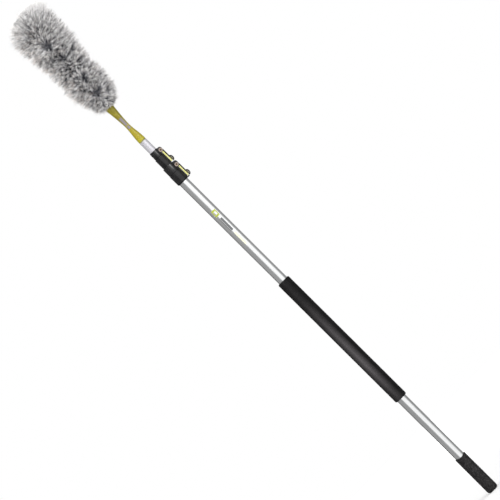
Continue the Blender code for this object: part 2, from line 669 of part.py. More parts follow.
# ---------------------------------------------------------------- threaded tip
def threaded_rod(name, play, bottom, turns, finish):
    """A solid right-hand screw along +Z. play makes it larger all over, for cutting the nut."""
    crest = THREAD_CREST_SHARE / 2 + play / THREAD_PITCH
    foot = crest + THREAD_FLANK_SHARE
    minor = THREAD_MINOR_DIAMETER / 2 + play
    major = THREAD_MAJOR_DIAMETER / 2 + play
    shape = ((0.5 - foot, minor), (0.5 - crest, major), (0.5 + crest, major), (0.5 + foot, minor))
    rows = len(shape)
    bm = bmesh.new()
    grid = []
    for i in range(SMALL_FACETS):
        angle = 2 * math.pi * i / SMALL_FACETS
        column = []
        for j in range(rows * turns + 1):
            share, radius = shape[j % rows]
            height = bottom + THREAD_PITCH * (i / SMALL_FACETS + j // rows + share)
            place = (radius * math.cos(angle), radius * math.sin(angle), height)
            column.append(bm.verts.new(place))
        grid.append(column)
    for i in range(SMALL_FACETS - 1):
        for j in range(rows * turns):
            bm.faces.new((grid[i][j], grid[i + 1][j], grid[i + 1][j + 1], grid[i][j + 1]))
    first, last = grid[0], grid[-1]
    for j in range(rows * (turns - 1)):
        bm.faces.new((last[j], first[j + rows], first[j + rows + 1], last[j + 1]))
    lower = [column[0] for column in grid] + first[rows:0:-1]
    upper = [column[-1] for column in grid] + last[-2 : -rows - 2 : -1]
    for loop in (lower, upper):
        middle = sum((v.co.z for v in loop)) / len(loop)
        centre = bm.verts.new((0, 0, middle))
        for a, b in zip(loop, loop[1:] + loop[:1]):
            bm.faces.new((a, b, centre))
    return finish_mesh(name, bm, finish)


def make_threaded_tip(finish):
    """The plug in the tip tube, its flange, and the male thread that the duster screws on."""
    plug_r = TIP_BORE_R - INSERT_WALL_PLAY
    core_r = THREAD_MINOR_DIAMETER / 2 - GAP
    flange_top = FLANGE_Z + FLANGE_THICKNESS
    profile = [
        (0.0, THREAD_TOP - GAP),
        (core_r - THREAD_NOSE, THREAD_TOP - GAP),
        (core_r, THREAD_TOP - GAP - THREAD_NOSE),
        (core_r, flange_top),
        (TIP_R, flange_top),
        (TIP_R, FLANGE_Z),
        (plug_r, FLANGE_Z),
        (plug_r, FLANGE_Z - INSERT_DEPTH),
        (0.0, FLANGE_Z - INSERT_DEPTH),
    ]
    tip = turned("threaded_tip", profile, finish, SOCKET_FACETS)
    join(tip, threaded_rod("tip_thread", 0.0, THREAD_Z - THREAD_PITCH / 2, THREAD_TURNS, finish))
    clear_r = plug_r + INSERT_WALL_PLAY / 10
    below = FLANGE_Z - INSERT_DEPTH - GAP
    room = [(TIP_R, FLANGE_Z), (clear_r, FLANGE_Z), (clear_r, below), (TIP_R, below)]
    return cut(tip, turned("tip_tube_room", room, finish, SOCKET_FACETS))


def make_tip_rivet(tip_tube, insert, finish):
    """The blind rivet at the back that holds the insert in the tip tube."""
    height = FLANGE_Z - INSERT_DEPTH / 2
    start = TIP_BORE_R / 2
    rivet = rod("tip_rivet", RIVET_RADIUS, (0, start, height), (0, 1, 0), TIP_R + 2 * GAP - start, finish)
    head = rod("rivet_head", RIVET_HEAD_RADIUS, (0, TIP_R + GAP, height), (0, 1, 0),
               RIVET_HEAD_THICKNESS, finish)
    join(rivet, head)
    hole = rod("rivet_hole", RIVET_RADIUS + GAP, (0, start - GAP, height), (0, 1, 0), TIP_R, finish)
    cut(tip_tube, hole)
    cut(insert, hole)
    return rivet


def make_gasket(finish):
    """The soft ring between the tip's flange and the duster's lip."""
    inside = THREAD_MAJOR_DIAMETER / 2 + THREAD_PLAY
    outside = SOCKET_LIP_R - GAP
    top = GASKET_Z + GASKET_THICKNESS
    profile = [(outside, top), (outside, GASKET_Z), (inside, GASKET_Z), (inside, top)]
    return turned("socket_gasket", profile, finish, SOCKET_FACETS)


# ---------------------------------------------------------------- duster head
def socket_radius(height):
    """The socket's outer radius: a slightly tapered skirt, a waist and a flaring cup."""
    shoulder = SOCKET_SHOULDER_DIAMETER / 2
    neck = SOCKET_NECK_DIAMETER / 2
    if height < SOCKET_SHOULDER_Z:
        share = (height - SOCKET_LIP_Z) / SOCKET_SKIRT_LENGTH
        return SOCKET_LIP_R + (shoulder - SOCKET_LIP_R) * share**SOCKET_SKIRT_POWER
    if height < SOCKET_NECK_Z:
        share = (height - SOCKET_SHOULDER_Z) / SOCKET_NECK_LENGTH
        return shoulder + (neck - shoulder) * math.sin(share * math.pi / 2)
    share = (height - SOCKET_NECK_Z) / SOCKET_FLARE_LENGTH
    return neck + (SOCKET_CUP_DIAMETER / 2 - neck) * share**SOCKET_FLARE_POWER


def make_socket(finish):
    """The hourglass socket: threaded below, a cup for the pile's ferrule above."""
    length = SOCKET_RIM_Z - SOCKET_LIP_Z
    heights = [SOCKET_RIM_Z - length * i / SOCKET_STEPS for i in range(SOCKET_STEPS)]
    lip = SOCKET_LIP_ROUND
    profile = [(socket_radius(h), h) for h in heights]
    profile += [(SOCKET_LIP_R, SOCKET_LIP_Z + lip), (SOCKET_LIP_R - lip, SOCKET_LIP_Z)]
    profile = [(0.0, CUP_FLOOR_Z), (CUP_BORE_R, CUP_FLOOR_Z), (CUP_BORE_R, SOCKET_RIM_Z)] + profile
    profile += [(0.0, SOCKET_LIP_Z)]
    socket = turned("duster_socket", profile, finish, SOCKET_FACETS)
    nut_start = THREAD_Z - THREAD_PITCH * 1.5
    nut = threaded_rod("socket_thread", THREAD_PLAY, nut_start, THREAD_TURNS + 2, finish)
    cut(socket, nut)
    seat = rod("wire_seat", WIRE_RADIUS + GAP, (0, 0, WIRE_BOTTOM - GAP), (0, 0, 1),
               WIRE_SEAT + SOCKET_CUP_DEPTH, finish)
    return cut(socket, seat)


def make_ferrule(finish):
    """The ring in the socket's cup that holds the pile's backing round the wire."""
    outside = CUP_BORE_R - GAP
    inside = WIRE_RADIUS + GAP
    low = CUP_FLOOR_Z + GAP
    top = SOCKET_RIM_Z + FERRULE_STAND
    bevel = FERRULE_BEVEL
    profile = [(inside, top), (outside - bevel, top), (outside, top - bevel), (outside, low)]
    return turned("pile_ferrule", profile + [(inside, low)], finish, SOCKET_FACETS)


def make_wire(number, low, high, finish):
    """One stretch of the bendable wire, tapered where it meets a bend."""
    taper = WIRE_RADIUS * WIRE_END_SHARE
    low_r = WIRE_RADIUS if number == 1 else taper
    high_r = WIRE_RADIUS if number == len(LOBE_HEIGHTS) else taper
    profile = [(0.0, high), (high_r, high), (WIRE_RADIUS, high - WIRE_TAPER)]
    profile += [(WIRE_RADIUS, low + WIRE_TAPER), (low_r, low), (0.0, low)]
    return turned(f"core_wire_{number}", profile, finish, SMALL_FACETS)


def make_wire_cap(finish):
    """The plastic ball on the wire's end."""
    centre = WIRE_TOP + WIRE_CAP_RADIUS + GAP
    profile = arc((0.0, centre), WIRE_CAP_RADIUS, math.pi / 2, -math.pi / 2)
    profile[0] = (0.0, centre + WIRE_CAP_RADIUS)
    profile[-1] = (0.0, centre - WIRE_CAP_RADIUS)
    return turned("wire_cap", profile, finish, SMALL_FACETS)


def bend_face(height, radius, way):
    """Where a lobe's end face is at a radius: it leans away so that a bend can close."""
    return height + way * (BEND_PLAY + radius * math.tan(BEND_LIMIT / 2 + BEND_SPARE))


def lobe_outline(number, radius, low, high, shrink):
    """One lobe's (radius, height) line from its lower bore to its upper one, moved in by shrink."""
    out = radius - shrink
    soft = LOBE_CORNER - shrink
    lower_edge = bend_face(low, out, 1) + shrink
    upper_edge = bend_face(high, out, -1) - shrink
    line = []
    if number == 1:
        # the first lobe opens downwards around the socket's cup
        line += [(SOCKET_CUP_DIAMETER / 2 + CUP_PLAY, low + shrink)]
        line += [(radius * share - shrink, low + up) for share, up in FOOT_LINE]
        line += [(out, low + FOOT_FULL_SHARE * (high - low) - soft)]
    else:
        line += [(PILE_BORE_R, bend_face(low, PILE_BORE_R, 1) + shrink)]
        line += [(out - soft, bend_face(low, out - soft, 1) + shrink)]
        line += [(out, lower_edge + soft)]
    if number == len(LOBE_HEIGHTS):
        # the last lobe is closed by a dome
        span = high - shrink - (low + (high - low) * DOME_START_SHARE)
        centre = (0.0, high - shrink - span)
        line += arc(centre, out, 0, math.pi / 2, span, DOME_STEP)[:-1]
        line += [(0.0, high - shrink)]
    else:
        line += [(out, upper_edge - soft)]
        line += [(out - soft, bend_face(high, out - soft, -1) - shrink)]
        line += [(PILE_BORE_R, bend_face(high, PILE_BORE_R, -1) - shrink)]
    return line


def make_lobe(number, radius, low, high, finish):
    """One lobe of the pile as a thin hollow skin, open towards the wire."""
    outside = lobe_outline(number, radius, low, high, 0.0)
    inside = lobe_outline(number, radius, low, high, PILE_SKIN)
    return turned(f"pile_{number}", outside[::-1] + inside, finish, PILE_FACETS)


# ---------------------------------------------------------------- assembly
def make_pole(finishes):
    """The three tubes, the grips and both clamps, each on the empty that carries it."""
    outer_tube = make_tube(
        "outer_tube", OUTER_R, OUTER_TUBE_WALL, OUTER_TUBE_BOTTOM, OUTER_TUBE_TOP, finishes["tube"]
    )
    mid_tube = make_tube("mid_tube", MID_R, MID_TUBE_WALL, MID_TUBE_BOTTOM, MID_TUBE_TOP, finishes["tube"])
    tip_tube = make_tube("tip_tube", TIP_R, TIP_TUBE_WALL, TIP_TUBE_BOTTOM, TIP_TUBE_TOP, finishes["tube"])
    lower = make_clamp(
        "lower", LOWER_CLAMP_BASE, LOWER_SEAM, LOWER_CLAMP_TOP, LOWER_PIVOT_HEIGHT,
        LOWER_PIVOT_REACH, LOWER_LEVER_REACH, (LOWER_SLEEVE_WALL, LOWER_COLLAR_WALL),
        SLEEVE_CORNER, (OUTER_R, OUTER_BORE_R), outer_tube, MID_R, finishes,
    )
    upper = make_clamp(
        "upper", UPPER_CLAMP_BASE, UPPER_SEAM, UPPER_CLAMP_TOP, UPPER_PIVOT_HEIGHT,
        UPPER_PIVOT_REACH, UPPER_LEVER_REACH, (UPPER_SLEEVE_WALL, UPPER_COLLAR_WALL),
        UPPER_SLEEVE_CORNER, (MID_R, MID_BORE_R), mid_tube, TIP_R, finishes,
    )
    insert = make_threaded_tip(finishes["insert"])
    rivet = make_tip_rivet(tip_tube, insert, finishes["steel"])

    base = joint_empty("pole_base_axis", (0, 0, 0))
    mid_guide = joint_empty("mid_guide_axis", (0, 0, MID_TUBE_BOTTOM), base)
    mid = joint_empty("mid_section_axis", (0, 0, MID_TUBE_BOTTOM), mid_guide)
    tip_guide = joint_empty("tip_guide_axis", (0, 0, TIP_TUBE_BOTTOM), mid)
    tip = joint_empty("tip_section_axis", (0, 0, TIP_TUBE_BOTTOM), tip_guide)
    for clamp, side, carrier in ((lower, "lower", base), (upper, "upper", mid)):
        lever_axis = joint_empty(f"{side}_lever_axis", clamp["pivot"], carrier)
        shoe_axis = joint_empty(f"{side}_shoe_axis", clamp["pivot"], carrier)
        attach(lever_axis, *clamp["lever"])
        attach(shoe_axis, clamp["shoe"])
        attach(carrier, *clamp["fixed"])
    attach(base, outer_tube, make_foam_grip(finishes["foam"]), make_end_grip(finishes["end_grip"]))
    attach(mid, mid_tube)
    attach(tip, tip_tube, insert, rivet)
    attach(
        mid_guide, make_bush("mid_guide_bush", OUTER_BORE_R, MID_BORE_R, MID_TUBE_BOTTOM, finishes["bush"])
    )
    attach(
        tip_guide, make_bush("tip_guide_bush", MID_BORE_R, TIP_BORE_R, TIP_TUBE_BOTTOM, finishes["bush"])
    )
    return tip


def make_duster(tip, finishes):
    """The gasket, the socket and the bendable pile."""
    ring = joint_empty("gasket_axis", (0, 0, GASKET_Z), tip)
    attach(ring, make_gasket(finishes["gasket"]))
    head = joint_empty("duster_axis", (0, 0, GASKET_Z), ring)
    attach(head, make_socket(finishes["socket"]), make_ferrule(finishes["insert"]))
    carrier = head
    for number in range(1, len(LOBE_HEIGHTS) + 1):
        low, high = LOBE_EDGES[number - 1], LOBE_EDGES[number]
        if number > 1:
            carrier = joint_empty(f"bend_{number - 1}_axis", (0, 0, low), carrier)
        wire_low = WIRE_BOTTOM if number == 1 else low + BEND_PLAY
        wire_high = WIRE_TOP if number == len(LOBE_HEIGHTS) else high - BEND_PLAY
        attach(carrier, make_wire(number, wire_low, wire_high, finishes["wire"]))
        attach(carrier, make_lobe(number, LOBE_RADII[number - 1], low, high, finishes["pile"]))
    attach(carrier, make_wire_cap(finishes["insert"]))


def main():
    for old in list(bpy.data.objects):
        bpy.data.objects.remove(old, do_unlink=True)
    finishes = make_materials()
    tip = make_pole(finishes)
    make_duster(tip, finishes)


main()
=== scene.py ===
import math

import bpy
import numpy as np
from mathutils import Matrix, Vector, noise


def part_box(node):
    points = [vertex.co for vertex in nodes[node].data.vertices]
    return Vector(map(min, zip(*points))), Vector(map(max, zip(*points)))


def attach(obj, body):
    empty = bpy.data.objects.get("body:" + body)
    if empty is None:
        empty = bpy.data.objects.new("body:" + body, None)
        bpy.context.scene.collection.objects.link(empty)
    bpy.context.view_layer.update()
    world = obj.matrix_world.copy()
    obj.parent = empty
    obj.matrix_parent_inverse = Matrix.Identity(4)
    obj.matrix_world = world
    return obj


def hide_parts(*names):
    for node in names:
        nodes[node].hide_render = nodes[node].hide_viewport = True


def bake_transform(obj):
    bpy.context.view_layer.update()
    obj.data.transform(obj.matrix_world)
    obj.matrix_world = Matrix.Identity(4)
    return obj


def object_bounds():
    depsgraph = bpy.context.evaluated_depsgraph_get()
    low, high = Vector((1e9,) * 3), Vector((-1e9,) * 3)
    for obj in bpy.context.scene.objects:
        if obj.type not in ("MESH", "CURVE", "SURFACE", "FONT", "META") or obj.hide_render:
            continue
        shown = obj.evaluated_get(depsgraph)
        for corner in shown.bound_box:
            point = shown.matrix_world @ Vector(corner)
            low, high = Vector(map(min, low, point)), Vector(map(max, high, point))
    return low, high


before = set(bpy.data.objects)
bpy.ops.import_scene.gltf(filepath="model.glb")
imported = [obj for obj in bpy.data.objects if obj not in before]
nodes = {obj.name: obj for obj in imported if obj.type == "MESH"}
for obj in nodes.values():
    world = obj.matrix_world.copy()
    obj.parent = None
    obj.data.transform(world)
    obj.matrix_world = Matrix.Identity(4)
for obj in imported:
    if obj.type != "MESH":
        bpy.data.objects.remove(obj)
cad_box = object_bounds()

# Driving values, in metres unless the name says otherwise.
FRAME_WIDTH = 1.5            # what the picture takes in from side to side
AIM = Vector((-0.005, 0.0, 0.385))
POLE_LEAN = math.radians(44.82)   # how far the pole leans from the picture's upright
LENS_MM = 250.0
FLOOR_RADIUS = 4.0
FLOOR_DROP = 0.0006
# How bright the studio's walls are, by the share of a turn from behind and by the share of the way up.
WALL_BY_TURN = ((0.0, 0.06), (0.12, 0.08), (0.19, 0.44), (0.452, 0.46), (0.482, 1.45), (0.66, 1.35),
                (0.73, 0.42), (0.93, 0.36), (1.0, 0.10))
WALL_BY_HEIGHT = ((0.0, 0.40), (0.30, 0.58), (0.38, 0.82), (0.47, 0.97), (0.5, 1.0), (0.62, 1.05), (1.0, 1.6))

PRINT_START, PRINT_LENGTH, PRINT_WIDTH = 0.398, 0.158, 0.019
LABEL_WIDTH = 0.0086
LABEL_PARTS = ((0.897, 0.908), (0.911, 0.940))   # the label's two panels, by height
PRINT_EDGE, LABEL_EDGE = 0.0004, 0.0003          # how soft the edges of the ink are
SMOOTH_ANGLE = math.radians(33.0)

FOAM_SIDES, FOAM_STEPS = 120, 300
FOAM_EDGE = 0.0045
FOAM_DENT = 0.00016

SEED = 41
STRANDS_PER_MM2 = 0.26
CLUMPS_PER_MM2 = 0.036
LOOSE_SHARE = 0.10           # strands that belong to no tuft
STRAND_RINGS = 6
STRAND_THICK, STRAND_TIP = 0.00036, 0.00008
STRAND_ROOT = 0.46           # share of the pile's radius at which a strand starts
CORE_SHARE = 0.62            # share of the pile's radius that the dark under-pile fills
TONES = 64                   # how many shades the strands come in
MOST_STRANDS = 6900          # in one piece


# ---------------------------------------------------------------- material nodes
class Look:
    """A material, its Principled shader and short calls for the nodes that feed it."""

    def __init__(self, name, **values):
        self.material = bpy.data.materials.new(name)
        self.material.use_nodes = True
        self.tree = self.material.node_tree
        self.shader = self.tree.nodes["Principled BSDF"]
        for socket, value in values.items():
            self.feed(self.shader, socket.replace("_", " "), value)
        self.place = self.add("ShaderNodeTexCoord").outputs["Object"]

    def feed(self, node, socket, value):
        target = node.inputs[socket]
        if isinstance(value, bpy.types.NodeSocket):
            self.tree.links.new(value, target)
        elif target.type == "RGBA":
            target.default_value = (*value[:3], 1.0)
        else:
            target.default_value = value

    def add(self, kind, inputs=None, **settings):
        node = self.tree.nodes.new(kind)
        for key, value in settings.items():
            setattr(node, key, value)
        for socket, value in (inputs or {}).items():
            self.feed(node, socket, value)
        return node

    def set(self, **values):
        for socket, value in values.items():
            self.feed(self.shader, socket.replace("_", " "), value)

    def maths(self, operation, a, b=0.0):
        return self.add("ShaderNodeMath", {0: a, 1: b}, operation=operation).outputs[0]

    def length(self, a, b):
        """The length of the flat vector (a, b)."""
        squares = self.maths("ADD", self.maths("POWER", a, 2.0), self.maths("POWER", b, 2.0))
        return self.maths("SQRT", squares)

    def axes(self):
        node = self.add("ShaderNodeSeparateXYZ", {0: self.place})
        return node.outputs[0], node.outputs[1], node.outputs[2]

    def stretched(self, scale):
        return self.add("ShaderNodeMapping", {"Vector": self.place, "Scale": scale}).outputs[0]

    def noise(self, scale, detail=3.0, roughness=0.55, vector=None):
        place = self.place if vector is None else vector
        sockets = {"Vector": place, "Scale": scale, "Detail": detail, "Roughness": roughness}
        return self.add("ShaderNodeTexNoise", sockets).outputs[0]

    def cells(self, scale):
        return self.add("ShaderNodeTexVoronoi", {"Vector": self.place, "Scale": scale}).outputs["Distance"]

    def remap(self, value, low, high, to_low=0.0, to_high=1.0):
        sockets = {"Value": value, "From Min": low, "From Max": high, "To Min": to_low, "To Max": to_high}
        return self.add("ShaderNodeMapRange", sockets).outputs[0]

    def within(self, value, low, high, soft):
        """1 between low and high, 0 outside, with an edge of that softness."""
        rise = self.remap(value, low - soft, low + soft)
        fall = self.remap(value, high - soft, high + soft, 1.0, 0.0)
        return self.maths("MULTIPLY", rise, fall)

    def mix(self, share, a, b):
        node = self.add("ShaderNodeMix", data_type="RGBA")
        self.feed(node, 0, share)
        self.feed(node, 6, a)
        self.feed(node, 7, b)
        return node.outputs[2]

    def ramp(self, value, stops):
        node = self.add("ShaderNodeValToRGB", {"Fac": value})
        set_stops(node.color_ramp, stops)
        return node.outputs[0]

    def bump(self, height, strength, distance):
        sockets = {"Height": height, "Strength": strength, "Distance": distance}
        normal = self.shader.inputs["Normal"]
        if normal.links:
            sockets["Normal"] = normal.links[0].from_socket
        self.feed(self.shader, "Normal", self.add("ShaderNodeBump", sockets).outputs[0])

    def facing_angle(self):
        """The angle round the pole from the side that faces the front, -Y, in radians."""
        x, y, _ = self.axes()
        return self.maths("ARCTAN2", x, self.maths("MULTIPLY", y, -1.0))


def set_stops(colour_ramp, stops):
    """Fills a ramp from (position, colour) pairs."""
    while len(colour_ramp.elements) < len(stops):
        colour_ramp.elements.new(1.0)
    for element, (at, colour) in zip(colour_ramp.elements, stops):
        element.position = at
        element.color = (*colour, 1.0)


def grey(value):
    return (value, value, value)


def tube_metal(name, radius, roughness, tint, metal, printed):
    """Drawn and anodised aluminium: fine lines along the tube, and faint handling marks."""
    look = Look(name, Metallic=metal)
    lines = look.noise(1.0, 2.0, 0.6, look.stretched((2600.0, 2600.0, 9.0)))
    marks = look.noise(30.0, 5.0, 0.7, look.stretched((1.0, 1.0, 0.25)))
    low, high = (tuple(share * c for c in tint) for share in (0.72, 0.79))
    tone = look.mix(look.remap(marks, 0.3, 0.7), low, high)
    tone = look.mix(look.remap(lines, 0.35, 0.65, 0.0, 0.12), tone, grey(0.60))
    rough = look.maths("ADD", look.remap(marks, 0.3, 0.75, roughness - 0.04, roughness + 0.06),
                       look.remap(lines, 0.3, 0.7, -0.02, 0.03))
    look.bump(lines, 0.12, 0.00002)
    if printed:
        tone, rough = with_print(look, tone, rough, radius)
    look.set(Base_Color=tone, Roughness=rough)
    return look.material


def with_print(look, tone, rough, radius):
    """A plain printed panel with a ring and blank bars, in place of any words."""
    across = look.maths("MULTIPLY", look.facing_angle(), radius)
    along = look.maths("SUBTRACT", look.axes()[2], PRINT_START)
    half, end, edge = PRINT_WIDTH / 2, PRINT_LENGTH, PRINT_EDGE
    wide = look.within(across, -half, half, edge)
    panel = look.maths("MULTIPLY", wide, look.within(along, 0.0, end, edge))
    ring = look.maths("MULTIPLY", look.within(across, -half * 0.8, half * 0.8, edge),
                      look.within(along, end * 0.80, end * 0.95, edge))
    hole = look.maths("MULTIPLY", look.within(across, -half * 0.45, half * 0.45, edge),
                      look.within(along, end * 0.84, end * 0.91, edge))
    ring = look.maths("SUBTRACT", ring, hole)
    bar = look.within(across, -half * 0.20, half * 0.55, edge)
    thin = look.within(across, -half * 0.62, -half * 0.45, edge)
    first = look.within(along, end * 0.42, end * 0.74, edge)
    dark = look.maths("MULTIPLY", bar, first)
    small = look.maths("MULTIPLY", thin, first)
    pale = look.maths("MULTIPLY", bar, look.within(along, end * 0.05, end * 0.36, edge))
    tone = look.mix(look.maths("MULTIPLY", panel, 0.35), tone, (0.86, 0.87, 0.86))
    tone = look.mix(ring, tone, (0.30, 0.34, 0.035))
    tone = look.mix(dark, tone, (0.10, 0.102, 0.105))
    tone = look.mix(look.maths("MULTIPLY", small, 0.7), tone, grey(0.25))
    tone = look.mix(look.maths("MULTIPLY", pale, 0.75), tone, (0.62, 0.62, 0.36))
    ink = look.maths("MAXIMUM", look.maths("MAXIMUM", ring, dark), pale)
    look.set(Metallic=look.maths("SUBTRACT", 1.0, look.maths("MULTIPLY", ink, 0.85)))
    return tone, look.maths("ADD", rough, look.maths("MULTIPLY", ink, 0.12))


def moulded(name, colour, wear_and_highlight, roughness, grain=900.0, depth=0.00004, gloss=0.5):
    """Moulded plastic: a fine eroded texture, uneven gloss and slightly paler rubbed patches."""
    look = Look(name, Metallic=0.0, Specular_IOR_Level=gloss)
    fine = look.noise(grain, 4.0, 0.6)
    broad = look.noise(60.0, 4.0, 0.6)
    look.set(Base_Color=look.mix(look.remap(broad, 0.35, 0.75), colour, wear_and_highlight),
             Roughness=look.maths("ADD", look.remap(broad, 0.3, 0.7, roughness - 0.06, roughness + 0.08),
                                  look.remap(fine, 0.3, 0.7, -0.04, 0.04)))
    look.bump(fine, 0.35, depth)
    return look


def turned_steel(name, tone=0.55, tint=(1.0, 0.93, 0.88)):
    """Plated steel with fine turning marks."""
    look = Look(name, Metallic=1.0)
    rings = look.noise(1.0, 3.0, 0.6, look.stretched((900.0, 60.0, 900.0)))
    broad = look.noise(180.0, 3.0)
    low = tuple(tone * 0.75 * c for c in tint)
    high = tuple(tone * 1.15 * c for c in tint)
    look.set(Base_Color=look.mix(look.remap(broad, 0.3, 0.7), low, high),
             Roughness=look.remap(rings, 0.3, 0.7, 0.24, 0.40))
    look.bump(rings, 0.3, 0.00002)
    return look.material


def socket_plastic(name):
    """Yellow-green moulded plastic, darker and more mottled where it flares, with a blank grey label."""
    look = Look(name, Specular_IOR_Level=0.35, Subsurface_Weight=0.08, Subsurface_Scale=1.0,
                Subsurface_Radius=(0.004, 0.004, 0.001))
    low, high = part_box("duster_socket")
    x, y, z = look.axes()
    height = look.remap(z, low.z, high.z)
    mottle = look.noise(240.0, 5.0, 0.65)
    lip, skirt, shoulder = (0.15, 0.14, 0.012), (0.29, 0.26, 0.016), (0.25, 0.205, 0.012)
    neck, flare, rim = (0.22, 0.18, 0.010), (0.15, 0.125, 0.007), (0.11, 0.092, 0.007)
    tone = look.ramp(height, [(0.0, lip), (0.03, skirt), (0.10, shoulder),
                              (0.40, neck), (0.60, flare), (1.0, rim)])
    spots = look.maths("MULTIPLY", look.remap(mottle, 0.42, 0.68), look.remap(height, 0.3, 0.8, 0.25, 0.75))
    tone = look.mix(spots, tone, (0.30, 0.265, 0.035))
    front = look.maths("LESS_THAN", y, 0.0)
    label = look.maths("MULTIPLY", front, look.within(x, -LABEL_WIDTH / 2, LABEL_WIDTH / 2, LABEL_EDGE))
    parts = look.maths("MAXIMUM", *(look.within(z, *part, LABEL_EDGE) for part in LABEL_PARTS))
    label = look.maths("MULTIPLY", label, parts)
    tone = look.mix(label, tone, (0.17, 0.148, 0.160))
    look.set(Base_Color=tone, Roughness=look.remap(mottle, 0.3, 0.7, 0.34, 0.48))
    look.bump(look.noise(1100.0, 3.0), 0.3, 0.00004)
    return look.material


def foam_rubber(name):
    """Black foam: a matt skin of fine closed cells, greyer spots and a painted highlight down the front, a
    little left of the middle.
    """
    look = Look(name, Sheen_Weight=0.02, Sheen_Roughness=0.5, Specular_IOR_Level=0.10)
    cell = look.cells(1500.0)
    broad = look.noise(45.0, 5.0, 0.6)
    scuff = look.noise(210.0, 5.0, 0.75)
    tone = look.mix(look.remap(broad, 0.3, 0.7), grey(0.0012), (0.0045, 0.0042, 0.0045))
    x, y, z = look.axes()
    low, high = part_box("foam_grip")
    # Painted highlight: a paler band on the front, a little left of the middle, strongest about a third of
    # the way up and broken by the scuff noise.
    wear_and_highlight = ((0.0, 0.35), (0.30, 1.0), (0.55, 0.75), (0.80, 0.22), (1.0, 0.10))
    along = look.ramp(look.remap(z, low.z, high.z), [(at, grey(share)) for at, share in wear_and_highlight])
    middle = -0.25 * high.x
    highlight_band = look.maths("MULTIPLY", look.remap(x, -high.x, middle), look.remap(x, 0.55 * high.x, middle))
    highlight_band = look.maths("MULTIPLY", look.maths("MULTIPLY", highlight_band, look.maths("LESS_THAN", y, 0.0)), along)
    painted_highlight = look.maths("MULTIPLY", highlight_band, look.remap(scuff, 0.20, 0.62, 0.55, 1.0))
    tone = look.mix(painted_highlight, tone, (0.072, 0.067, 0.070))
    tone = look.mix(look.remap(scuff, 0.52, 0.72, 0.0, 0.35), tone, (0.026, 0.024, 0.025))
    look.set(Base_Color=tone, Roughness=look.remap(cell, 0.0, 0.7, 0.56, 0.74))
    look.bump(cell, 0.45, 0.00010)
    look.bump(look.noise(380.0, 4.0, 0.6), 0.45, 0.00022)
    return look.material


def grip_rubber(name):
    """The butt cap's rubber, pressed with fine dimples and mottled with greyer spots."""
    look = moulded(name, (0.0030, 0.0028, 0.0030), (0.014, 0.0130, 0.0135), 0.50, 700.0, 0.00010, 0.22)
    tone = look.shader.inputs["Base Color"].links[0].from_socket
    spots = look.remap(look.noise(260.0, 5.0, 0.75), 0.50, 0.68, 0.0, 0.7)
    look.set(Base_Color=look.mix(spots, tone, (0.070, 0.066, 0.068)))
    look.bump(look.cells(620.0), 0.5, 0.00016)
    return look.material


def lever_plastic(name, side):
    """The lever's yellow core, with painted shade: olive along its edges and darker inside the finger hook.
    """
    look = moulded(name, (0.50, 0.49, 0.13), (0.60, 0.59, 0.24), 0.40)
    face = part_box(f"{side}_lever_cover")[0].x
    x, _, _ = look.axes()
    tone = look.shader.inputs["Base Color"].links[0].from_socket
    # Painted shade: olive away from a narrow strip down the core, and darker past the cover's face.
    off_middle = look.maths("ABSOLUTE", look.maths("SUBTRACT", x, face - 0.0023))
    tone = look.mix(look.remap(off_middle, 0.0008, 0.0021, 0.0, 0.8), tone, (0.13, 0.12, 0.018))
    tone = look.mix(look.remap(x, face - 0.0004, face + 0.0010), tone, (0.060, 0.054, 0.030))
    look.set(Base_Color=tone)
    return look.material


def pin_steel(name, side):
    """The pin's domed head: a rosy plated ring round a recess darkened with painted shade, with fine turning
    marks.
    """
    look = Look(name, Metallic=1.0)
    low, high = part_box(f"{side}_lever_pin")
    middle = (low + high) / 2
    x, _, z = look.axes()
    reach = look.length(look.maths("SUBTRACT", x, middle.x), look.maths("SUBTRACT", z, middle.z))
    rings = look.maths("SINE", look.maths("MULTIPLY", reach, 26000.0))
    wear_and_highlight = look.noise(420.0, 4.0, 0.6)
    tone = look.mix(look.remap(wear_and_highlight, 0.3, 0.7), (0.36, 0.29, 0.25), (0.50, 0.42, 0.37))
    # Painted shade: the recess in the middle of the head is darkened to dull brown.
    tone = look.mix(look.remap(reach, 0.0030, 0.0038, 1.0, 0.0), tone, (0.13, 0.095, 0.060))
    tone = look.mix(look.remap(reach, 0.0054, 0.0061), tone, (0.20, 0.15, 0.13))
    look.set(Base_Color=tone, Roughness=look.remap(wear_and_highlight, 0.3, 0.7, 0.30, 0.48))
    look.bump(rings, 0.15, 0.00002)
    return look.material


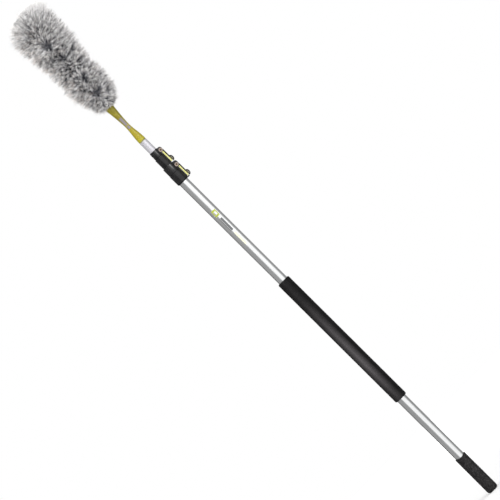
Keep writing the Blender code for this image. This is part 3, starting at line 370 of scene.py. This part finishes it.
def pile_fibre(name):
    """Synthetic fibre, pale at the tip and darkened towards the root with painted shade, each strand in one
    of the shades.
    The map's u picks the shade and its v runs from root to tip. A painted highlight makes the crown's tips
    the palest."""
    look = Look(name, Roughness=0.60, Sheen_Weight=0.25, Sheen_Roughness=0.4, Specular_IOR_Level=0.3)
    uv = look.add("ShaderNodeUVMap", uv_map="UVMap").outputs[0]
    parts = look.add("ShaderNodeSeparateXYZ", {0: uv})
    column = look.maths("FLOOR", look.maths("MULTIPLY", parts.outputs[0], float(TONES)))
    shade = look.maths("DIVIDE", column, float(TONES))
    draw = look.add("ShaderNodeTexWhiteNoise", {"W": column}, noise_dimensions="1D")
    along = parts.outputs[1]
    # Both ramps darken each strand towards its root: painted shade for the depths of the pile.
    pale = look.ramp(along, [(0.0, (0.015, 0.016, 0.021)), (0.25, (0.060, 0.062, 0.075)),
                             (0.45, (0.30, 0.30, 0.33)), (0.68, (0.78, 0.775, 0.78)),
                             (0.85, (0.95, 0.94, 0.93)), (1.0, (0.97, 0.96, 0.95))])
    dark = look.ramp(along, [(0.0, (0.010, 0.011, 0.015)), (0.5, (0.022, 0.024, 0.031)),
                             (0.8, (0.055, 0.058, 0.070)), (1.0, (0.13, 0.135, 0.15))])
    tone = look.mix(look.remap(shade, 0.22, 0.48), dark, pale)
    x, _, z = look.axes()
    warm = look.mix(look.remap(along, 0.3, 0.9), (0.05, 0.05, 0.055), (0.80, 0.70, 0.63))
    chosen = look.remap(draw.outputs["Value"], 0.62, 0.85)
    tone = look.mix(look.maths("MULTIPLY", chosen, look.remap(x, 0.03, -0.06, 0.40, 0.85)), tone, warm)
    # Painted highlight: the tips near the top of the crown are made paler.
    crown = look.remap(z, PILE_HIGH - CROWN_HIGHLIGHT_DEPTH, PILE_HIGH, 0.0, 0.75)
    crown = look.maths("MULTIPLY", crown, look.remap(along, 0.35, 0.8))
    look.set(Base_Color=look.mix(crown, tone, (0.97, 0.96, 0.95)))
    return look.material


def under_pile(name):
    """A dark mass below the strands, nearly black and mottled with dark grey: painted shade for the pile's
    depths.
    """
    look = Look(name, Roughness=0.85, Sheen_Weight=0.1)
    fine = look.noise(420.0, 5.0, 0.65)
    broad = look.noise(55.0, 4.0, 0.6)
    tone = look.mix(look.remap(fine, 0.35, 0.7), (0.008, 0.009, 0.012), (0.045, 0.047, 0.055))
    tone = look.mix(look.remap(broad, 0.4, 0.7, 0.0, 0.5), tone, (0.070, 0.072, 0.082))
    look.set(Base_Color=tone)
    look.bump(fine, 0.8, 0.0015)
    return look.material


# ---------------------------------------------------------------- shading of the CAD nodes
def shading_group():
    """Joins the faces of a faceted solid and shades its gentle edges smooth; no vertex moves."""
    group = bpy.data.node_groups.new("smooth_by_angle", "GeometryNodeTree")
    for way in ("INPUT", "OUTPUT"):
        group.interface.new_socket("Geometry", in_out=way, socket_type="NodeSocketGeometry")
    add, link = group.nodes.new, group.links.new
    start, end = add("NodeGroupInput"), add("NodeGroupOutput")
    drop = add("GeometryNodeRemoveAttribute")
    drop.inputs["Name"].default_value = "custom_normal"
    weld = add("GeometryNodeMergeByDistance")
    weld.inputs["Distance"].default_value = 2e-6
    faces = add("GeometryNodeSetShadeSmooth")
    edges = add("GeometryNodeSetShadeSmooth")
    edges.domain = "EDGE"
    edges.inputs["Shade Smooth"].default_value = False
    angle = add("GeometryNodeInputMeshEdgeAngle")
    steep = add("FunctionNodeCompare")
    steep.data_type = "FLOAT"
    steep.operation = "GREATER_THAN"
    steep.inputs["B"].default_value = SMOOTH_ANGLE
    link(angle.outputs["Unsigned Angle"], steep.inputs["A"])
    link(steep.outputs["Result"], edges.inputs["Selection"])
    chain = [start, drop, weld, faces, edges, end]
    for a, b in zip(chain, chain[1:]):
        link(a.outputs[0], b.inputs[0])
    return group


def dress(names, material):
    for name in names:
        nodes[name].data.materials.clear()
        nodes[name].data.materials.append(material)


# ---------------------------------------------------------------- meshes
def mesh_object(name, points, faces, material, uv=None):
    """A smooth mesh from numpy points, and faces as lists of arrays of one width each."""
    mesh = bpy.data.meshes.new(name)
    mesh.vertices.add(len(points))
    mesh.vertices.foreach_set("co", np.asarray(points, np.float32).ravel())
    flat = np.concatenate([f.ravel() for f in faces])
    widths = np.concatenate([np.full(len(f), f.shape[1]) for f in faces])
    starts = np.concatenate([[0], np.cumsum(widths)[:-1]])
    mesh.loops.add(len(flat))
    mesh.loops.foreach_set("vertex_index", flat.astype(np.int32))
    mesh.polygons.add(len(widths))
    mesh.polygons.foreach_set("loop_start", starts.astype(np.int32))
    mesh.polygons.foreach_set("use_smooth", np.ones(len(widths), bool))
    if uv is not None:
        layer = mesh.uv_layers.new(name="UVMap")
        layer.uv.foreach_set("vector", np.asarray(uv, np.float32).ravel())
    mesh.update(calc_edges=True)
    mesh.validate()
    mesh.materials.append(material)
    made = bpy.data.objects.new(name, mesh)
    bpy.context.scene.collection.objects.link(made)
    return made


def grid_faces(rows, columns):
    """Quads of a grid whose columns run round and close on themselves, facing out."""
    row, column = np.meshgrid(np.arange(rows - 1), np.arange(columns), indexing="ij")
    after = (column + 1) % columns
    a, b = row * columns + column, row * columns + after
    return np.stack([a, b, b + columns, a + columns], -1).reshape(-1, 4)


def rough_field(points, size, seed, octaves=3):
    """Smooth noise at each point, about -1 to 1, with bumps of that size."""
    shift = Vector((seed * 17.3, seed * 5.1, seed * 9.7))
    return np.array([noise.fractal(Vector(p) / size + shift, 1.0, 2.0, octaves) for p in points])


def make_foam(material):
    """The foam sleeve as one closed tube with rounded ends and an uneven skin."""
    low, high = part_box("foam_grip")
    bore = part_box("outer_tube")[1].x + 0.0002
    outer = high.x
    turn = np.linspace(0, math.pi / 2, 9)
    sideways, upwards = FOAM_EDGE * np.sin(turn), FOAM_EDGE * np.cos(turn)
    lower = np.stack([outer - FOAM_EDGE + sideways, low.z + FOAM_EDGE - upwards], 1)
    upper = np.stack([lower[::-1, 0], low.z + high.z - lower[::-1, 1]], 1)
    heights = np.linspace(low.z + FOAM_EDGE, high.z - FOAM_EDGE, FOAM_STEPS)[1:-1]
    body = np.stack([np.full(len(heights), outer), heights], 1)
    lip = np.array([[bore, low.z + 0.0012], [bore + 0.0008, low.z + 0.0002], [bore + 0.0020, low.z]])
    top_lip = np.stack([lip[::-1, 0], low.z + high.z - lip[::-1, 1]], 1)
    profile = np.concatenate([lip, lower, body, upper, top_lip])
    angle = np.arange(FOAM_SIDES) * 2 * math.pi / FOAM_SIDES
    ring = np.stack([np.cos(angle), np.sin(angle)], 1)
    flat = profile[:, :1, None] * ring[None]
    points = np.concatenate([flat, np.repeat(profile[:, 1:, None], FOAM_SIDES, 1)], 2).reshape(-1, 3)
    reach = (np.repeat(profile[:, 0], FOAM_SIDES) - bore) / (outer - bore)
    push = FOAM_DENT * reach * (rough_field(points, 0.016, 1) - 0.7)
    out = points[:, :2] / np.linalg.norm(points[:, :2], axis=1)[:, None]
    points[:, :2] += out * push[:, None]
    faces = grid_faces(len(profile), FOAM_SIDES)
    last = (len(profile) - 1) * FOAM_SIDES
    bore_faces = grid_faces(2, FOAM_SIDES)
    bore_faces = np.where(bore_faces < FOAM_SIDES, bore_faces + last, bore_faces - FOAM_SIDES)
    return mesh_object("foam_sleeve", points, [faces, bore_faces], material)


# ---------------------------------------------------------------- the pile
PILE = [f"pile_{k}" for k in range(1, 6)]
LOBES = [(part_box(n)[0].z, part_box(n)[1].z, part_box(n)[1].x) for n in PILE]
JOINT_Z = [(LOBES[k][1] + LOBES[k + 1][0]) / 2 for k in range(4)]
PILE_LOW, PILE_HIGH = LOBES[0][0], LOBES[-1][1]
SPLIT_Z = [PILE_LOW, *((a + b) / 2 for a, b in zip(JOINT_Z, JOINT_Z[1:])), PILE_HIGH]
GROOVE = 0.06                # how far the pile draws in between two lobes
SHOULDER = 0.072             # height of the dome at the free end
DOME_POWER = 2.5
FOOT_POWER = 0.27            # how fast the pile widens above its foot
LOBE_LEAN = (0.008, 0.003, 0.006, 0.010, 0.005)   # how far each lobe bulges to the levers' side
CROWN_LEAN = 0.016           # and the dome, beyond its lobe
CROWN_SPARE = 0.012          # how far the crown's tips may stand above the pile
CROWN_HIGHLIGHT_DEPTH = 0.075           # depth of the painted highlight on the crown's tips
SIDE_EASE = 0.084            # the reach from the wire past which the tips are drawn in
SIDE_SPARE = 0.0115          # the most by which they still pass it
LOBE_FAN, CROWN_FAN = 0.58, 0.48   # how closely the roots stand together beside the tips, in height
SHORT_SHARE = 0.30           # strands that end below the surface


def pile_radius(z):
    """The pile's outer radius at each height."""
    edges = np.array([PILE_LOW, *JOINT_Z, PILE_HIGH])
    index = np.clip(np.searchsorted(edges, z) - 1, 0, len(LOBES) - 1)
    radius = np.array([r for _, _, r in LOBES])[index]
    low, high = edges[index], edges[index + 1]
    from_middle = np.abs((z - (low + high) / 2) / ((high - low) / 2))
    found = radius * (1 - GROOVE * from_middle ** 3)
    rising = np.clip((z - PILE_LOW) / (JOINT_Z[0] - PILE_LOW), 0, 1)
    foot = LOBES[0][2] * np.maximum(rising, 0.004) ** FOOT_POWER
    found = np.where(index == 0, np.minimum(found, foot), found)
    up = np.clip((z - (PILE_HIGH - SHOULDER)) / SHOULDER, 0, 1)
    dome = LOBES[-1][2] * (1 - up ** DOME_POWER) ** (1 / DOME_POWER)
    top = (index == len(LOBES) - 1) & (z > (low + high) / 2 - 0.02)
    return np.where(top, np.minimum(np.maximum(found, radius * 0.99), dome), found)


def pile_lean(z):
    """How far the pile's middle stands off the wire towards +X at each height."""
    middles = [(low + high) / 2 for low, high, _ in LOBES]
    crown = np.clip((z - (PILE_HIGH - SHOULDER)) / SHOULDER, 0, 1) * CROWN_LEAN
    return np.interp(z, [PILE_LOW, *middles], [0.0, *LOBE_LEAN]) + crown


def spread_heights(rng, count):
    """Heights spread by the surface's area, the dome included."""
    z = np.linspace(PILE_LOW, PILE_HIGH - 1e-5, 900)
    r = pile_radius(z)
    area = np.concatenate([[0], np.cumsum(np.hypot(np.diff(z), np.diff(r)) * (r[1:] + r[:-1]) / 2)])
    wanted = (np.arange(count) + rng.random(count)) / count * area[-1]
    return np.interp(wanted, area, z)


def pile_area():
    z = np.linspace(PILE_LOW, PILE_HIGH - 1e-5, 900)
    r = pile_radius(z)
    return float(np.sum(np.hypot(np.diff(z), np.diff(r)) * (r[1:] + r[:-1])) * math.pi)


def unit(v):
    return v / np.maximum(np.linalg.norm(v, axis=-1, keepdims=True), 1e-12)


def strand_paths(rng):
    """The centreline of every strand as (strands, rings, 3), and each one's shade from 0 to TONES - 1."""
    area = pile_area() * 1e6
    clumps, count = int(area * CLUMPS_PER_MM2), int(area * STRANDS_PER_MM2)
    clump_z = spread_heights(rng, clumps)
    clump_turn = np.arange(clumps) * math.pi * (3 - math.sqrt(5)) + rng.normal(0, 0.25, clumps)
    member = rng.integers(0, clumps, count)
    loose = rng.random(count) < LOOSE_SHARE
    start_z = np.where(loose, spread_heights(rng, count), clump_z[member])
    turn = np.where(loose, rng.random(count) * 2 * math.pi, clump_turn[member])
    across = np.stack([-np.sin(turn), np.cos(turn), np.zeros(count)], 1)
    out = np.stack([np.cos(turn), np.sin(turn), np.zeros(count)], 1)
    up = np.array([0.0, 0.0, 1.0])

    # The tufts part round a few places and lie away from them, which opens dark gaps.
    tip_z, slide, lie = start_z.copy(), np.zeros(count), np.zeros((count, 3))
    for part_z, part_turn, size in partings(rng):
        dz = start_z - part_z
        da = ((turn - part_turn + math.pi) % (2 * math.pi) - math.pi) * pile_radius(start_z)
        away = np.hypot(dz, da) + 1e-6
        push = size * np.exp(-((away / (1.9 * size)) ** 2))
        tip_z += push * dz / away
        slide += push * da / away
        lie += (push * 0.7 / away)[:, None] * (dz[:, None] * up + da[:, None] * across)
    tip_z = np.clip(tip_z, PILE_LOW + 0.0005, PILE_HIGH - 0.0012)

    between = ((a + b) / 2 for a, b in zip(JOINT_Z, JOINT_Z[1:]))
    middles = np.array([PILE_LOW + 0.052, *between, JOINT_Z[-1] + 0.006])
    index = np.clip(np.searchsorted(JOINT_Z, start_z), 0, len(middles) - 1)
    fan = np.where(index == len(middles) - 1, CROWN_FAN, LOBE_FAN)
    root_z = middles[index] + (start_z - middles[index]) * fan
    radius, lean = pile_radius(tip_z), pile_lean(tip_z)
    own_length = rng.normal(0, 0.02, count)
    clump_length = np.clip(rng.normal(0, 0.05, clumps), -0.11, 0.10)
    length = 1 + own_length + clump_length[member] * ~loose
    short = rng.random(count) < SHORT_SHARE
    length = np.where(short, length - 0.04 - 0.20 * rng.random(count), length)
    far_turn = turn + slide / radius
    far_out = np.stack([np.cos(far_turn), np.sin(far_turn), np.zeros(count)], 1)
    tip = far_out * (radius * length)[:, None] + up * (root_z + (tip_z - root_z) * length)[:, None]
    tip[:, 0] += lean
    root_reach = np.minimum(STRAND_ROOT * pile_radius(start_z), STRAND_ROOT * LOBES[0][2])
    root = out * root_reach[:, None] + up * (root_z + (start_z - root_z) * 0.45)[:, None]
    root[:, 0] += lean * 0.4

    tight = np.where(loose, 0.006, rng.uniform(0.0005, 0.0018, clumps)[member])
    axis = unit(tip - root)
    side = unit(np.cross(axis, across + 0.3 * up))
    other = np.cross(axis, side)
    a, b = rng.normal(0, 1, (2, count))
    tip = tip + (side * (a * tight)[:, None] + other * (b * tight)[:, None])
    wide = (tight + 0.0028) * 0.8
    root = root + side * (a * wide)[:, None] + other * (b * wide)[:, None]

    # Each tuft curls its own way, the crown's tufts also up and the foot's down.
    curl_turn = rng.uniform(0, 2 * math.pi, clumps)[member] + rng.normal(0, 0.4, count)
    curl_size = rng.uniform(0.003, 0.014, clumps)[member] * rng.uniform(0.7, 1.2, count)
    rise = np.clip((tip_z - JOINT_Z[-1]) / 0.05, 0, 1) - np.clip((JOINT_Z[0] - tip_z) / 0.05, 0, 1)
    curl = side * np.cos(curl_turn)[:, None] + other * np.sin(curl_turn)[:, None]
    curl = (curl + up * 0.35 * rise[:, None]) * curl_size[:, None] + lie

    s = np.linspace(0, 1, STRAND_RINGS)
    path = root[:, None] + (tip - root)[:, None] * s[None, :, None]
    path += curl[:, None] * (s ** 2 - 0.25 * s)[None, :, None]
    wave = rng.uniform(0.0003, 0.0010, count)[:, None] * s[None] ** 0.7
    beat = rng.uniform(1.2, 2.4, count)[:, None] * s[None] * 2 * math.pi
    first, second = rng.uniform(0, 2 * math.pi, (2, count))
    path += side[:, None] * (wave * np.sin(beat + first[:, None]))[:, :, None]
    path += other[:, None] * (wave * np.sin(beat * 0.8 + second[:, None]))[:, :, None]
    path[:, :, 2] = np.minimum(path[:, :, 2], PILE_HIGH + CROWN_SPARE)
    reach = np.linalg.norm(path[:, :, :2], axis=2)
    held = SIDE_EASE + SIDE_SPARE * np.tanh((reach - SIDE_EASE) / SIDE_SPARE)
    path[:, :, :2] *= np.where(reach > SIDE_EASE, held / np.maximum(reach, SIDE_EASE), 1.0)[:, :, None]

    tone = np.where(rng.random(count) < 0.82, rng.random(clumps)[member], rng.random(count))
    return path, np.floor(tone * TONES).astype(int).clip(0, TONES - 1)


def partings(rng):
    """Where the tufts part, as (height, turn, size): four along the front and others all round."""
    front = -math.pi / 2
    found = [(JOINT_Z[3] - 0.010, front - 0.12, 0.014), (JOINT_Z[0] + 0.044, front + 0.20, 0.009),
             (JOINT_Z[0] - 0.010, front, 0.012), (JOINT_Z[2] - 0.008, front + 0.02, 0.008)]
    for joint in JOINT_Z:
        for k in range(5):
            turn = front + 0.8 + k * 0.96 + rng.normal(0, 0.15)
            found.append((joint + rng.normal(0, 0.012), turn, rng.uniform(0.006, 0.011)))
    return found


def strand_mesh(name, paths, tones, material):
    """Closed three-sided strands that taper to a point, all in one mesh."""
    count, rings, _ = paths.shape
    along = unit(np.gradient(paths, axis=1))
    side = unit(np.cross(along, np.array([0.31, 0.17, 0.93])))
    other = np.cross(along, side)
    share = np.linspace(0, 1, rings)
    thick = (STRAND_TIP + (STRAND_THICK - STRAND_TIP) * (1 - share ** 2.2))[None, :-1, None, None]
    corner = np.arange(3) * 2 * math.pi / 3
    cos, sin = np.cos(corner)[:, None], np.sin(corner)[:, None]
    ring = side[:, :-1, None] * cos + other[:, :-1, None] * sin
    body = paths[:, :-1, None] + ring * thick
    per_strand = (rings - 1) * 3 + 1
    points = np.concatenate([body.reshape(count, -1, 3), paths[:, -1:]], 1).reshape(-1, 3)
    quads, quad_uv = [], []
    for row in range(rings - 2):
        for k in range(3):
            n = (k + 1) % 3
            quads.append([row * 3 + k, row * 3 + n, row * 3 + 3 + n, row * 3 + 3 + k])
            quad_uv.append([(k, row), (k + 1, row), (k + 1, row + 1), (k, row + 1)])
    last = (rings - 2) * 3
    tris = [[last + k, last + (k + 1) % 3, per_strand - 1] for k in range(3)] + [[2, 1, 0]]
    tri_uv = [[(k, rings - 2), (k + 1, rings - 2), (k + 0.5, rings - 1)] for k in range(3)]
    tri_uv.append([(0, 0), (1.5, 0.05), (3, 0)])
    start = (np.arange(count) * per_strand)[:, None, None]
    faces = [(np.array(quads)[None] + start).reshape(-1, 4), (np.array(tris)[None] + start).reshape(-1, 3)]
    uv = []
    for shape in (np.array(quad_uv, float), np.array(tri_uv, float)):
        u = (tones[:, None, None] + 0.1 + 0.8 * shape[None, ..., 0] / 3) / TONES
        v = np.broadcast_to(0.01 + 0.98 * shape[None, ..., 1] / (rings - 1), u.shape)
        uv.append(np.stack([u, v], -1).reshape(-1, 2))
    return mesh_object(name, points, faces, material, np.concatenate(uv))


def under_pile_mesh(name, low, high, material, seed):
    """The dark mass inside the strands, which stands for the shade deep in the pile, from one height to
    another, as one closed lumpy body.
    """
    sides, steps = 72, max(8, int((high - low) / 0.0022))
    z = np.linspace(low, high, steps)
    angle = np.arange(sides) * 2 * math.pi / sides
    flat = np.stack([np.cos(angle), np.sin(angle)], 1)
    r = pile_radius(z) * CORE_SHARE
    heights = np.repeat(z[:, None, None], sides, 1)
    points = np.concatenate([r[:, None, None] * flat[None], heights], 2).reshape(-1, 3)
    bumps = rough_field(points, 0.011, seed, 4)
    out = points * [1, 1, 0]
    points = points + out * (0.16 * bumps)[:, None]
    points[:, 0] += np.repeat(pile_lean(z), sides) * 0.6
    ends = np.array([[pile_lean(h) * 0.6, 0, h] for h in (low, high)])
    total = len(points)
    faces = grid_faces(steps, sides)
    around = np.arange(sides)
    after = (around + 1) % sides
    bottom = np.stack([after, around, np.full(sides, total)], 1)
    top = np.stack([total - sides + around, total - sides + after, np.full(sides, total + 1)], 1)
    return mesh_object(name, np.concatenate([points, ends]), [faces, np.concatenate([bottom, top])], material)


def bend_with(piece, region):
    """Bakes the piece's placing into its mesh and hides the two CAD lobes either side of the joint in the
    middle of its region.
    """
    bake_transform(piece)
    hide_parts(PILE[region], PILE[region + 1])


def make_pile():
    rng = np.random.default_rng(SEED)
    fibre, under = pile_fibre("pile_fibre"), under_pile("under_pile")
    paths, tones = strand_paths(rng)
    anchor = paths[:, 0, 2] * 0.4 + paths[:, -1, 2] * 0.6
    region_of = np.clip(np.searchsorted(SPLIT_Z[1:-1], anchor), 0, 3)
    for region in range(4):
        mine = np.flatnonzero(region_of == region)
        turn = np.arctan2(paths[mine, 0, 1], paths[mine, 0, 0])
        mine = mine[np.argsort(turn)]
        parts = max(1, math.ceil(len(mine) / MOST_STRANDS))
        for k, share in enumerate(np.array_split(mine, parts)):
            piece = strand_mesh(f"pile_strands_{region + 1}_{k + 1}", paths[share], tones[share], fibre)
            bend_with(piece, region)
        low = SPLIT_Z[region] - (0.002 if region else -0.004)
        high = SPLIT_Z[region + 1] + (0.002 if region < 3 else -0.012)
        bend_with(under_pile_mesh(f"under_pile_{region + 1}", low, high, under, 7), region)


# ---------------------------------------------------------------- stage, light and camera
def make_stage():
    """A plain pale floor under the butt of the pole; it glows, faintly near the middle and more strongly
    towards its rim.
    """
    low = cad_box[0].z - FLOOR_DROP
    look = Look("stage_floor", Base_Color=grey(0.62), Roughness=0.9, Emission_Color=grey(1.0))
    x, y, _ = look.axes()
    look.set(Emission_Strength=look.remap(look.length(x, y), 0.8, 3.0, 0.12, 0.80))
    sides = 96
    angle = np.arange(sides) * 2 * math.pi / sides
    rim = np.stack([np.cos(angle) * FLOOR_RADIUS, np.sin(angle) * FLOOR_RADIUS, np.full(sides, low)], 1)
    points = np.concatenate([rim, [[0, 0, low]]])
    around = np.arange(sides)
    faces = np.stack([around, (around + 1) % sides, np.full(sides, sides)], 1)
    floor = mesh_object("stage_floor", points, [faces], look.material)
    floor.visible_glossy = False


def make_light():
    """A white studio: its walls are bright to the front right, greyer to the left and dimmer below."""
    world = bpy.data.worlds.new("studio")
    bpy.context.scene.world = world
    world.use_nodes = True
    tree = world.node_tree
    tree.nodes.clear()

    def add(kind, **settings):
        node = tree.nodes.new(kind)
        for key, value in settings.items():
            setattr(node, key, value)
        return node

    link = tree.links.new
    place = add("ShaderNodeTexCoord")
    parts = add("ShaderNodeSeparateXYZ")
    link(place.outputs["Generated"], parts.inputs[0])
    minus = add("ShaderNodeMath", operation="MULTIPLY")
    minus.inputs[1].default_value = -1.0
    link(parts.outputs[1], minus.inputs[0])
    turn = add("ShaderNodeMath", operation="ARCTAN2")
    link(parts.outputs[0], turn.inputs[0])
    link(minus.outputs[0], turn.inputs[1])
    share = add("ShaderNodeMapRange")
    share.inputs["From Min"].default_value = -math.pi
    share.inputs["From Max"].default_value = math.pi
    link(turn.outputs[0], share.inputs["Value"])
    wall = add("ShaderNodeValToRGB")
    wall.color_ramp.interpolation = "EASE"
    set_stops(wall.color_ramp, [(at, grey(value)) for at, value in WALL_BY_TURN])
    link(share.outputs[0], wall.inputs[0])
    height = add("ShaderNodeValToRGB")
    height.color_ramp.interpolation = "EASE"
    set_stops(height.color_ramp, [(at, grey(value)) for at, value in WALL_BY_HEIGHT])
    lift = add("ShaderNodeMapRange")
    lift.inputs["From Min"].default_value = -1.0
    link(parts.outputs[2], lift.inputs["Value"])
    link(lift.outputs[0], height.inputs[0])
    both = add("ShaderNodeMix", data_type="RGBA", blend_type="MULTIPLY")
    both.inputs[0].default_value = 1.0
    link(wall.outputs[0], both.inputs[6])
    link(height.outputs[0], both.inputs[7])
    lit = add("ShaderNodeBackground")
    lit.inputs["Strength"].default_value = 0.95
    link(both.outputs[2], lit.inputs["Color"])
    seen = add("ShaderNodeBackground")
    seen.inputs["Color"].default_value = (1.0, 1.0, 1.0, 1.0)
    ray = add("ShaderNodeLightPath")
    choose = add("ShaderNodeMixShader")
    link(ray.outputs["Is Camera Ray"], choose.inputs[0])
    link(lit.outputs[0], choose.inputs[1])
    link(seen.outputs[0], choose.inputs[2])
    link(choose.outputs[0], add("ShaderNodeOutputWorld").inputs[0])

    add_softbox("key", (1.9, -2.3, 2.3), 0.9, (1.4, 2.2), 66.0)
    add_softbox("fill", (-2.3, -2.2, 1.6), 1.0, (1.6, 1.6), 85.0).visible_glossy = False
    add_softbox("back_fill", (-0.8, 3.0, 1.5), 0.8, (1.8, 1.8), 70.0).visible_glossy = False


def add_softbox(name, place, aim_height, size, power):
    light = bpy.data.lights.new(name, "AREA")
    light.shape = "RECTANGLE"
    light.size, light.size_y = size
    light.energy = power
    lamp = bpy.data.objects.new(name, light)
    lamp.location = place
    lamp.rotation_mode = "QUATERNION"
    lamp.rotation_quaternion = (lamp.location - Vector((0, 0, aim_height))).to_track_quat("Z", "Y")
    bpy.context.scene.collection.objects.link(lamp)
    return lamp


def make_camera():
    """A long lens that looks along +Y, rolled so that the pole runs from upper left to lower right."""
    camera = bpy.data.objects.new("camera", bpy.data.cameras.new("camera"))
    bpy.context.scene.collection.objects.link(camera)
    camera.data.lens = LENS_MM
    distance = FRAME_WIDTH * LENS_MM / camera.data.sensor_width
    c, s = math.cos(POLE_LEAN), math.sin(POLE_LEAN)
    right, up = Vector((s, 0, -c)), Vector((c, 0, s))
    turned = Matrix((right, up, right.cross(up))).transposed().to_4x4()
    camera.matrix_world = Matrix.Translation(AIM - Vector((0, distance, 0))) @ turned
    camera.data.clip_end = 100.0
    bpy.context.scene.camera = camera


# ---------------------------------------------------------------- the whole scene
def dress_frame():
    smooth = shading_group()
    for node in nodes.values():
        node.modifiers.new("shading", "NODES").node_group = smooth
    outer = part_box("outer_tube")[1].x
    dress(["outer_tube"], tube_metal("tube_outer", outer, 0.24, (0.985, 0.995, 1.0), 1.0, True))
    dress(["mid_tube", "tip_tube"], tube_metal("tube_inner", outer, 0.46, (0.57, 0.56, 0.60), 0.45, False))
    dark, wear_and_highlight = (0.0022, 0.0022, 0.0027), (0.010, 0.0097, 0.0100)
    clamp = moulded("clamp_black", dark, wear_and_highlight, 0.24, 800.0, 0.00003, 0.40)
    dress(["lower_clamp_body", "upper_clamp_body"], clamp.material)
    for side in ("lower", "upper"):
        dress([f"{side}_lever_core"], lever_plastic(f"{side}_lever_yellow", side))
        dress([f"{side}_lever_pin"], pin_steel(f"{side}_pin_steel", side))
    cover = moulded("cover_black", (0.0030, 0.0030, 0.0032), (0.012, 0.0115, 0.011), 0.42, 900.0, gloss=0.22)
    dress(["lower_lever_cover", "upper_lever_cover"], cover.material)
    shoe = moulded("shoe_grey", grey(0.05), grey(0.08), 0.5)
    dress(["lower_clamp_shoe", "upper_clamp_shoe"], shoe.material)
    dress(["end_grip"], grip_rubber("end_grip_black"))
    steel = turned_steel("plated_steel")
    dress([f"{side}_{part}" for side in ("lower", "upper") for part in ("clamp_screw", "pin_washer")], steel)
    dress(["tip_rivet"], steel)
    dress([f"core_wire_{k}" for k in range(1, 6)], turned_steel("core_wire", 0.5, (1.0, 1.0, 1.0)))
    dress(["mid_guide_bush", "tip_guide_bush"], moulded("bush_nylon", grey(0.55), grey(0.62), 0.45).material)
    dress(["threaded_tip"], moulded("tip_plastic", (0.30, 0.29, 0.27), (0.38, 0.37, 0.34), 0.42).material)
    insert = moulded("insert_plastic", (0.018, 0.018, 0.019), grey(0.03), 0.42)
    dress(["pile_ferrule", "wire_cap"], insert.material)
    dress(["socket_gasket"], moulded("gasket_rubber", (0.30, 0.28, 0.16), (0.36, 0.34, 0.22), 0.6).material)
    dress(["duster_socket"], socket_plastic("socket_yellow"))


make_camera()
make_light()
make_stage()
dress_frame()
foam = make_foam(foam_rubber("foam_black"))
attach(foam, "pole_base")
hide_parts("foam_grip")
make_pile()

bpy.context.scene.view_settings.view_transform = "Standard"
